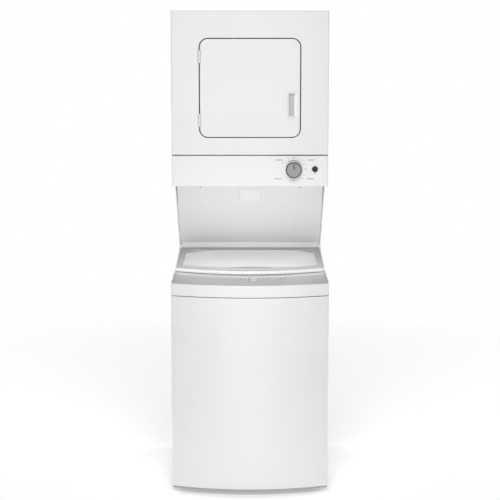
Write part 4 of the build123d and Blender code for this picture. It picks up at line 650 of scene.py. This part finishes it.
def makePull():
    low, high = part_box("door_pull")
    x, z = middleOf("door_pull")
    width, height, place = high.x - low.x, high.z - low.z, frontPlace(x, low.y, z)
    rim, proud = pull["rim"], pull["proud"]
    outer = roundedOutline(width, height, pull["corner"])
    inner = roundedOutline(width - 2 * rim, height - 2 * rim, pull["innerCorner"])
    surround = frameMesh("surround", outer, inner, 2 * proud, pull["edge"])
    putPiece("pullSurround", surround, "door", "pull_grey", "rimGrey", place @ moved(0, 0, -proud))
    wide = pull["lip"]
    lip = slabMesh("lip", roundedOutline(wide, height - pull["lipEnds"], pull["lipCorner"]), pull["lipStand"],
                   pull["lipEdge"])
    beside = moved(width / 2 - wide / 2 - pull["lipInset"], 0, -pull["lipSink"])
    putPiece("pullLip", lip, "door", "pull_grey", "noseWhite", place @ beside)
    # the pad darkens the pocket's floor as painted shade
    left, right = pull["padX"]
    rise = pull["padRise"]
    pad = slabMesh("pad", roundedOutline(right - left, pull["padHeight"], pull["padCorner"]), 2 * rise, rise)
    floor = moved((left + right) / 2, 0, -pull["padDepth"] - rise)
    putPiece("pullPad", pad, "door", "pull_grey", "padGrey", place @ floor)

makePull()

# Door felt: a dark strip on the bulkhead all round behind the door's edge
felt = {"width": 0.012, "thickness": 0.0015, "sink": 0.0002, "corner": 0.031, "steps": 12}

def makeFelt():
    low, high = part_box("door_panel")
    x, z = middleOf("door_panel")
    wide, tall, half = high.x - low.x, high.z - low.z, felt["width"] / 2
    outer, inner = (roundedOutline(wide + 2 * grown, tall + 2 * grown, felt["corner"] + grown, felt["steps"])
                    for grown in (half, -half))
    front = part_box("front_bulkhead")[0].y + felt["sink"]
    putPiece("doorFelt", frameMesh("felt", outer, inner, felt["thickness"]), "cabinet", "belt_rubber",
             place=frontPlace(x, front, z))

makeFelt()

# Silver fascia: lit figures in its window, faint plain signs beside it, and a white bead of painted highlight
# along its upper edge
fascia = {"bowRadius": 0.90878, "bowY": 0.56678, "setback": 0.060, "lowZ": 0.8305, "height": 0.030,
          "figures": "30", "figureX": 0.0075, "figureStep": 0.0115, "figureV": 0.0394,
          "figureSize": (0.0078, 0.0146), "stroke": 0.0024, "strokeGap": 0.7, "strokeCorner": 0.3,
          "proud": 0.0002, "signs": (-0.036, -0.0177, 0.052, 0.071, 0.117, 0.136), "signV": 0.0440,
          "signRadius": 0.0034, "signHoles": (0.45, 0.72), "dotX": 0.1255, "dotV": 0.0190, "dotShare": 0.6,
          "beadMid": 0.0580, "beadEnd": 0.0640, "beadWidth": 0.0046, "beadHalf": 0.280, "beadRise": 0.0009,
          "beadSteps": 72}

# A point of the fascia's leaning, bowed face: x across, v up the slope, lift out of it
def fasciaPoint(x, v, lift):
    slope = math.hypot(fascia["setback"], fascia["height"])
    radius = fascia["bowRadius"] - fascia["setback"] * v / slope + lift * fascia["height"] / slope
    z = fascia["lowZ"] + fascia["height"] * v / slope + lift * fascia["setback"] / slope
    return Vector((x, fascia["bowY"] - math.sqrt(radius ** 2 - x ** 2), z))

def wrapOnFascia(mesh, x, v):
    for vertex in mesh.vertices:
        vertex.co = fasciaPoint(x + vertex.co.x, v + vertex.co.y, vertex.co.z)
    return mesh

# Bars of a seven-bar figure: top, the two sides above and below, the middle and the foot
def figureMesh(figure):
    width, height = fascia["figureSize"]
    stroke, proud = fascia["stroke"], fascia["proud"]
    upright = (stroke, height / 2 - stroke * fascia["strokeGap"])
    level = (width - stroke * fascia["strokeGap"], stroke)
    bars = {"top": (0, height / 2, level), "middle": (0, 0, level), "foot": (0, -height / 2, level)}
    for side, x in (("left", -width / 2), ("right", width / 2)):
        bars[side + "High"] = (x, height / 4, upright)
        bars[side + "Low"] = (x, -height / 4, upright)
    lit = {"3": ("top", "middle", "foot", "rightHigh", "rightLow"),
           "0": ("top", "foot", "leftHigh", "leftLow", "rightHigh", "rightLow")}[figure]
    meshes = []
    for name in lit:
        x, y, size = bars[name]
        outline = roundedOutline(*size, stroke * fascia["strokeCorner"], 2)
        meshes.append(slabMesh("bar", outline, 2 * proud))
        meshes[-1].transform(moved(x, y, -proud))
    return joinMeshes("figure", meshes)

def markFascia():
    lit, faint = [], []
    for place, figure in enumerate(fascia["figures"]):
        x = fascia["figureX"] + place * fascia["figureStep"]
        lit.append(wrapOnFascia(figureMesh(figure), x, fascia["figureV"]))
    putPiece("fasciaFigures", lit, "cabinet", "display_window", "litInk")
    outer, proud = fascia["signRadius"], fascia["proud"]
    for place, x in enumerate(fascia["signs"]):
        inner = outer * fascia["signHoles"][place % 2]
        profile = ((inner, -proud), (inner, proud), (outer, proud), (outer, -proud))
        faint.append(wrapOnFascia(turnedMesh("ring", profile, 32, closed=True), x, fascia["signV"]))
    reach = outer * fascia["dotShare"]
    dot = turnedMesh("dot", ((0, -proud), (reach, -proud), (reach, proud), (0, proud)), 3)
    faint.append(wrapOnFascia(dot, fascia["dotX"], fascia["dotV"]))
    putPiece("fasciaSigns", faint, "cabinet", "display_window", "signGrey")

markFascia()

# The bead, a painted highlight, keeps just below the lid's nose, so it lies lower in the middle than at its
# ends
def makeFasciaHighlightBead():
    rise, side, steps = fascia["beadRise"], fascia["beadWidth"] / 2, fascia["beadSteps"]
    section = ((-side, -rise / 3), (-side, rise / 2), (rise - side, rise), (side - rise, rise),
               (side, rise / 2), (side, -rise / 3))
    bm = bmesh.new()
    rings = []
    for step in range(steps + 1):
        share = 2 * step / steps - 1
        x = fascia["beadHalf"] * share
        middle = fascia["beadMid"] + (fascia["beadEnd"] - fascia["beadMid"]) * share ** 2
        rings.append([bm.verts.new(fasciaPoint(x, middle + v, lift)) for v, lift in section])
    for ring, after in zip(rings, rings[1:]):
        bridge(bm, ring, after)
    bm.faces.new(rings[0])
    bm.faces.new(rings[-1][::-1])
    putPiece("fasciaBead", toMesh("fasciaBead", bm), "cabinet", "white_plastic", "noseWhite")

makeFasciaHighlightBead()
print("pull, felt and fascia made")

# Lid pane: a pale bead of painted highlight at its back, dark slivers of painted shade in the back corners, a
# dark crescent of painted shade for a finger hold at the front
pane = {"backY": 0.100, "backZ": 0.910, "slopeDeg": 4.76, "sunk": 0.0006, "proud": 0.0004,
        "arcCentre": 0.4696, "arcRadius": 0.8056, "holdX": (-0.092, 0.102), "holdFrom": 0.0006,
        "holdLeast": 0.0002, "holdDepth": 0.015, "holdBend": 0.8, "backV": -0.0585,
        "sliverX": (0.150, 0.2535), "sliverDepth": 0.040, "sliverBend": 0.6, "beadHalf": 0.250,
        "beadWidth": 0.0030, "beadRise": 0.0012, "beadEdge": 0.45, "steps": 40}

# A flat shape drawn across and along the lid, laid on the pane
def onPane(outline, rise, soften=0.0):
    mesh = slabMesh("onPane", outline, rise, soften)
    lean = Matrix.Rotation(math.radians(pane["slopeDeg"]), 4, "X")
    mesh.transform(moved(0, pane["backY"], pane["backZ"]) @ lean @ moved(0, 0, -pane["sunk"]))
    return mesh

def paneEdge(x):
    return pane["arcCentre"] - math.sqrt(pane["arcRadius"] ** 2 - x ** 2)

def dressPane():
    shares = [step / pane["steps"] for step in range(pane["steps"] + 1)]
    left, right = pane["holdX"]
    near, far = [], []
    for share in shares:
        x = left + (right - left) * share
        start = paneEdge(x) + pane["holdFrom"]
        depth = pane["holdLeast"] + pane["holdDepth"] * math.sin(math.pi * share) ** pane["holdBend"]
        near.append((x, start))
        far.append((x, start + depth))
    shades = [onPane(near + far[::-1], pane["proud"])]
    back, front = pane["backV"], pane["backV"] - pane["beadWidth"]
    for side in (-1, 1):
        inner, outer = (side * x for x in pane["sliverX"])
        foot = front - pane["sliverDepth"]
        hollow = []
        for share in shares[1:-1]:
            rise = math.sin(math.pi / 2 * share) ** pane["sliverBend"]
            hollow.append((outer + (inner - outer) * share, foot + pane["sliverDepth"] * rise))
        shades.append(onPane([(inner, front), (outer, front), (outer, foot), *hollow][::side], pane["proud"]))
    putPiece("paneShade", shades, "lid", "pane_glass", "paneShade")
    # the pale bead along the pane's back is a painted highlight
    half, rise = pane["beadHalf"], pane["beadRise"]
    bead = onPane([(-half, front), (half, front), (half, back), (-half, back)], rise, rise * pane["beadEdge"])
    putPiece("paneBead", bead, "lid", "pane_glass", "noseWhite")

dressPane()
print("pane dressed")

# Screws: pan heads with a crossed slot on the stand, hexagon heads with a washer on the back
screws = {"panRadius": 0.0040, "panHeight": 0.0021, "shank": 0.0019, "shankLength": 0.0015,
          "slot": (0.0009, 0.0046, 0.0016), "hexRadius": 0.0042, "hexHeight": 0.0042,
          "washerRadius": 0.0062, "washerThick": 0.0010, "sink": 0.0008, "topX": 0.196, "topZ": 1.177,
          "railX": 0.282, "railZ": 0.9255}

def panScrew():
    radius, height = screws["panRadius"], screws["panHeight"]
    shank, length = screws["shank"], screws["shankLength"]
    head = turnedMesh("panScrew", (
        (0, -length), (shank, -length), (shank, 0), (radius, 0), (radius, 0.0004),
        (radius * 0.94, height * 0.55), (radius * 0.72, height * 0.85), (radius * 0.4, height),
        (0, height)), 32)
    wide, tall, deep = screws["slot"]
    for size in ((wide, tall), (tall, wide)):
        slot = slabMesh("slot", roundedOutline(*size, wide * 0.2, 2), 2 * deep)
        slot.transform(moved(0, 0, height - deep))
        head = carve(head, slot)
    return head

def hexScrew():
    washer, radius, height = screws["washerRadius"], screws["hexRadius"], screws["hexHeight"]
    thick, sink = screws["washerThick"], screws["sink"]
    base = turnedMesh("washer", (
        (0, -sink), (washer, -sink), (washer, thick / 2), (washer * 0.9, thick), (0, thick)), 24)
    head = turnedMesh("hexHead", (
        (0, sink), (radius, sink), (radius, height - 0.0006), (radius * 0.86, height),
        (radius * 0.62, height), (radius * 0.55, height - 0.0006), (0, height - 0.0008)), 6)
    return joinMeshes("hexScrew", (base, head))

# Stand: its sloped face runs from the foot up and forward to the dryer, with a blank plate near the top whose
# face is lightened as a painted highlight
stand = {"footY": 0.106, "footZ": 0.930, "topY": -0.085, "topZ": 1.200, "plateZ": 1.14196,
         "plateRise": 0.0022, "plateSize": (0.0824, 0.0474), "plateCorner": 0.0040, "plateProud": 0.0002}

# Where that face is at a height, and which way it looks
def standFace(z):
    share = (z - stand["footZ"]) / (stand["topZ"] - stand["footZ"])
    rise = Vector((0, stand["topY"] - stand["footY"], stand["topZ"] - stand["footZ"])).normalized()
    return stand["footY"] + share * (stand["topY"] - stand["footY"]), Vector((0, -rise.z, rise.y))

def dressStand():
    y, facing = standFace(screws["topZ"])
    spots = [((side * screws["topX"], y, screws["topZ"]), facing) for side in (-1, 1)]
    spots += [((side * screws["railX"], stand["footY"], screws["railZ"]), (0, -1, 0)) for side in (-1, 1)]
    piece = putOnSpots("panelScrews", panScrew(), spots, "zinc_steel")
    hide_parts("panel_screws")
    y, facing = standFace(stand["plateZ"])
    across, proud = Vector((1, 0, 0)), stand["plateProud"]
    turn = Matrix((across, facing.cross(across), facing)).transposed().to_4x4()
    # a lighter slab on the plate's top as painted highlight
    plate = slabMesh("plateFace", roundedOutline(*stand["plateSize"], stand["plateCorner"]), 2 * proud)
    putPiece("plateFace", plate, "cabinet", "white_enamel", "plateWhite",
             moved(0, y, stand["plateZ"]) @ turn @ moved(0, 0, stand["plateRise"] - proud))

dressStand()

# Back of the cabinet: screws round the sheets, louvres, pressed beads and a terminal cover
back = {"screwInset": 0.010, "upperScrews": 7, "lowerScrews": 6, "acrossScrews": 4, "sink": 0.0002,
        "louvreSize": (0.070, 0.0075), "louvreStand": 0.0032, "louvreRise": 0.0125, "louvreSink": 0.0004,
        "banks": ((-0.195, 1.600, 12), (0.195, 1.600, 12), (0.0, 0.985, 9)),
        "beads": ((0.0, 0.30, 0.36), (-0.12, 0.30, 0.36), (0.0, 1.44, 0.22)), "beadWidth": 0.016,
        "beadStand": 0.0022, "coverSize": (0.100, 0.074), "coverCorner": 0.006, "coverEdge": 0.0025,
        "coverPlace": (0.110, 1.252), "coverStand": 0.007, "coverScrewSink": 0.0004}
outward = (0, 1, 0)

def makeBack():
    y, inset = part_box("rear_panel")[1].y, back["screwInset"]
    spots = []
    for node, count in (("rear_panel", back["upperScrews"]), ("washer_rear_panel", back["lowerScrews"])):
        low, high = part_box(node)
        bottom, top, edge = low.z + inset, high.z - inset, high.x - inset
        for step in range(count):
            z = bottom + (top - bottom) * step / (count - 1)
            spots += [((side * edge, y, z), outward) for side in (-1, 1)]
        for step in range(1, back["acrossScrews"]):
            x = edge * (2 * step / back["acrossScrews"] - 1)
            spots += [((x, y, z), outward) for z in (bottom, top)]
    putOnSpots("rearScrews", hexScrew(), spots, "zinc_steel")
    (wide, tall), rise = back["louvreSize"], back["louvreStand"]
    hood = slabMesh("hood", roundedOutline(wide, tall, tall * 0.48), rise, rise * 0.8)
    spots, sunk = [], y - back["louvreSink"]
    for x, z, count in back["banks"]:
        spots += [((x, sunk, z + step * back["louvreRise"]), outward) for step in range(count)]
    putOnSpots("rearLouvres", hood, spots, "galvanised")
    beads = []
    wide, rise = back["beadWidth"], back["beadStand"]
    for x, z, length in back["beads"]:
        beads.append(slabMesh("bead", roundedOutline(wide, length, wide * 0.49), rise, rise * 0.9))
        beads[-1].transform(backPlace(x, y - back["sink"], z))
    putPiece("rearBeads", beads, "cabinet", "galvanised")
    x, z = back["coverPlace"]
    outline = roundedOutline(*back["coverSize"], back["coverCorner"])
    cover = slabMesh("terminalCover", outline, back["coverStand"], back["coverEdge"])
    putPiece("terminalCover", cover, "cabinet", "galvanised", place=backPlace(x, y - back["sink"], z))
    spots = [((x, y + back["coverStand"] - back["coverScrewSink"], z), outward)]
    putOnSpots("coverScrew", hexScrew(), spots, "zinc_steel")

makeBack()

# Fittings on the back: threads and colour rings on the inlets, barbs on the drain, a bead on the vent's
# collar and a grommet in the cord hole
fittings = {"inlets": ((-0.220, "hotMark"), (-0.170, "coldMark")), "inletZ": 0.790,
            "thread": {"radius": 0.0132, "rise": 0.0007, "pitch": 0.0027, "count": 7, "peak": 0.5},
            "ringInner": 0.0152, "ringOuter": 0.0195, "ringStand": 0.0012, "ringEdge": 0.0006,
            "ringSink": 0.0003, "sleeveFrom": 0.0035, "sleeveSink": 0.0004, "drain": (0.150, 0.075),
            "barbs": {"radius": 0.0127, "rise": 0.0016, "pitch": 0.0048, "count": 4, "peak": 0.15},
            "vent": (0.0, 1.262), "ventRadius": 0.0508, "ventBeadY": 0.330, "ventBead": (0.0013, 0.00208),
            "cordHole": (0.200, 1.250), "cordRadius": 0.011, "grommet": 0.0155}

# A sleeve on a round spigot, with a row of ridges, each with its peak at a share of its pitch
def ridgedSleeve(radius, rise, pitch, count, peak):
    inner = radius - fittings["sleeveSink"]
    profile = [(inner, 0)]
    for step in range(count):
        profile += [(radius, step * pitch), (radius + rise, (step + peak) * pitch)]
    profile += [(radius, count * pitch), (inner, count * pitch)]
    return turnedMesh("sleeve", profile, 40, closed=True)

def makeFittings():
    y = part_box("rear_panel")[1].y
    sleeveY = y + fittings["sleeveFrom"]
    keys = ("ringInner", "ringOuter", "ringStand", "ringEdge", "ringSink")
    inner, outer, rise, edge, sink = (fittings[key] for key in keys)
    profile = ((inner, -sink), (inner, rise - 0.0004), (inner + edge, rise), (outer - edge, rise),
               (outer, rise - edge), (outer, -sink))
    for x, mark in fittings["inlets"]:
        z = fittings["inletZ"]
        thread = ridgedSleeve(**fittings["thread"])
        putPiece("inletThread." + mark, thread, "cabinet", "black_plastic", place=backPlace(x, sleeveY, z))
        ring = turnedMesh("ring", profile, 48, closed=True)
        putPiece("inletRing." + mark, ring, "cabinet", "black_plastic", mark, backPlace(x, y, z))
    x, z = fittings["drain"]
    barbs = ridgedSleeve(**fittings["barbs"])
    putPiece("drainBarbs", barbs, "cabinet", "black_plastic", place=backPlace(x, sleeveY, z))
    x, z = fittings["vent"]
    ring = ovalRing("ventBead", fittings["ventRadius"], *fittings["ventBead"], 10)
    putPiece("ventBead", ring, "cabinet", "galvanised", place=backPlace(x, fittings["ventBeadY"], z))
    x, z = fittings["cordHole"]
    inner, outer = fittings["cordRadius"], fittings["grommet"]
    neck = inner + 0.0012
    profile = ((inner, -0.0016), (inner, 0.0018), (neck, 0.0030), (outer - 0.0010, 0.0026), (outer, 0.0012),
               (outer, -0.0002), (neck, -0.0002), (neck, -0.0016))
    grommet = turnedMesh("grommet", profile, 48, closed=True)
    putPiece("cordGrommet", grommet, "cabinet", "belt_rubber", place=backPlace(x, y, z))

makeFittings()
print("screws, plate, back and fittings made")

# Inside: basket and drum holes drawn as dark discs of painted shade, a grille on the lint screen and a seal
# round the dryer's throat
inside = {"basketFrom": (0, 0.014, 0.450), "drumBackY": 0.2388, "drumZ": 1.5726,
          "basketHoles": {"Columns": 54, "Rows": 13, "Rise": 0.0215, "Radius": 0.2234, "Hole": 0.0021,
                          "Depth": 0.0008},
          "drumHoles": {"Side": 0.40, "Count": 24, "Reach": 0.19, "Hole": 0.0035, "Depth": 0.0012},
          "grilleRibs": 17, "grilleMargin": 0.030, "ribSize": (0.0016, 0.0024), "grilleBehind": 0.0035,
          "grilleDrop": 0.004, "sealRadius": 0.1775, "sealWidth": 0.0070, "sealDepth": 0.0028,
          "sealStand": 0.45}

def makeInside():
    basket = runTree("holeWrap", inside["basketHoles"], "dyedPit", moved(*inside["basketFrom"]))
    putPiece("basketHoles", basket, "basket", "stainless", "dyedPit")
    backWall = frontPlace(0, inside["drumBackY"], inside["drumZ"])
    drum = runTree("holePatch", inside["drumHoles"], "dyedPit", backWall)
    putPiece("drumHoles", drum, "drum", "stainless", "dyedPit")
    low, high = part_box("lint_screen")
    count, margin, (wide, thick) = inside["grilleRibs"], inside["grilleMargin"], inside["ribSize"]
    pitch = (high.x - low.x - margin) / (count - 1)
    row = {"Count": count, "Pitch": (pitch, 0, 0), "Size": (wide, high.z - low.z - margin, thick)}
    ribs = runTree("barRow", row, "black_plastic",
                   frontPlace(-pitch * (count - 1) / 2, high.y - inside["grilleBehind"],
                              (low.z + high.z) / 2 - inside["grilleDrop"]))
    putPiece("screenGrille", ribs, "screen", "black_plastic")
    deep = inside["sealDepth"]
    seal = ovalRing("throatSeal", inside["sealRadius"], inside["sealWidth"] / 2, deep / 2, 12)
    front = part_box("front_bulkhead")[0].y - deep * inside["sealStand"]
    putPiece("throatSeal", seal, "cabinet", "belt_rubber", "sealGrey", frontPlace(0, front, inside["drumZ"]))

makeInside()
print("inside made")

# Camera, floor and light
shot = {"place": (0, -5.490, 1.783), "downDeg": 8.988, "lens": 99.29, "sensor": 36}
camera = linkObject("camera", bpy.data.cameras.new("camera"))
camera.data.lens = shot["lens"]
camera.data.sensor_width = shot["sensor"]
camera.location = shot["place"]
camera.rotation_euler = (math.radians(90 - shot["downDeg"]), 0, 0)
bpy.context.scene.camera = camera

studio = {"floorHalf": 4, "floorFade": (0.9, 3.2), "floorTone": 0.93, "floorRough": 0.8, "floorGlow": 0.26,
          "dome": 0.245, "backdrop": 1.0}
# Place, aim, width and height, power, and whether glossy pieces mirror the lamp
lamps = {
    "frontTop": ((0.0, -3.2, 3.6), (0, 0, 0.9), (1.6, 1.6), 60, True),
    "dryerFront": ((-0.05, -2.2, 1.75), (0, -0.25, 1.5), (1.1, 0.8), 3.2, True),
    "frontStrip": ((-0.05, -1.5, 1.1), (0, 0, 1.1), (0.7, 2.9), 3.6, True),
    "bayFront": ((0, -1.15, 1.02), (0, 0.1, 0.95), (0.7, 0.12), 1.8, True),
    "bayTop": ((0, -0.27, 1.01), (0, 0.106, 0.93), (0.56, 0.06), 0.35, True),
    "lowStrip": ((0, -1.2, 0.10), (0, -0.3, 0.08), (0.3, 0.15), 0.3, False),
    "sideLeft": ((-2.4, 0.40, 1.0), (-0.3, -0.25, 1.0), (0.4, 2.2), 8, True),
    "sideRight": ((2.4, 0.40, 1.0), (0.3, -0.25, 1.0), (0.4, 2.2), 8, True),
    "rimLeft": ((-3.2, 1.9, 2.3), (0, 0, 1.0), (2.4, 2.4), 56, False),
    "rimRight": ((3.2, 1.9, 2.3), (0, 0, 1.0), (2.4, 2.4), 56, False),
}

# A pale floor that fades out into the backdrop
def makeFloor():
    half, tone = studio["floorHalf"], studio["floorTone"]
    mesh = bpy.data.meshes.new("floor")
    corners = [(-half, -half, 0), (half, -half, 0), (half, half, 0), (-half, half, 0)]
    mesh.from_pydata(corners, [], [(0, 1, 2, 3)])
    floor = linkObject("floor", mesh)
    mat, tree, shader = newFinish("floorPale")
    setInputs(shader, Base_Color=(tone, tone, tone, 1), Roughness=studio["floorRough"],
              Emission_Color=(1, 1, 1, 1), Emission_Strength=studio["floorGlow"])
    distance = addNode(tree, "ShaderNodeVectorMath", operation="LENGTH")
    wire(tree, objectPlace(tree), distance, 0)
    wire(tree, spread(tree, distance.outputs["Value"], 1, 0, *studio["floorFade"]), shader, "Alpha")
    mesh.materials.append(mat)

def makeLamps():
    for name, (place, aim, size, power, mirrored) in lamps.items():
        light = bpy.data.lights.new(name, "AREA")
        light.shape = "RECTANGLE"
        light.size, light.size_y = size
        light.energy = power
        lamp = linkObject(name, light)
        lamp.location = place
        lamp.rotation_euler = (Vector(aim) - Vector(place)).to_track_quat("-Z", "Y").to_euler()
        lamp.visible_camera = False
        lamp.visible_glossy = mirrored

# An even dome; the camera itself sees a white backdrop
def makeSky():
    world = bpy.data.worlds.new("studio")
    bpy.context.scene.world = world
    world.use_nodes = True
    tree = world.node_tree
    background = tree.nodes["Background"]
    setInputs(background, Color=(1, 1, 1, 1))
    seen = addNode(tree, "ShaderNodeMix", data_type="FLOAT")
    setInputs(seen, A=studio["dome"], B=studio["backdrop"])
    wire(tree, addNode(tree, "ShaderNodeLightPath").outputs["Is Camera Ray"], seen, "Factor")
    wire(tree, seen.outputs["Result"], background, "Strength")

makeFloor()
makeLamps()
makeSky()
bpy.context.scene.view_settings.view_transform = "Standard"
print("camera, floor and light set")
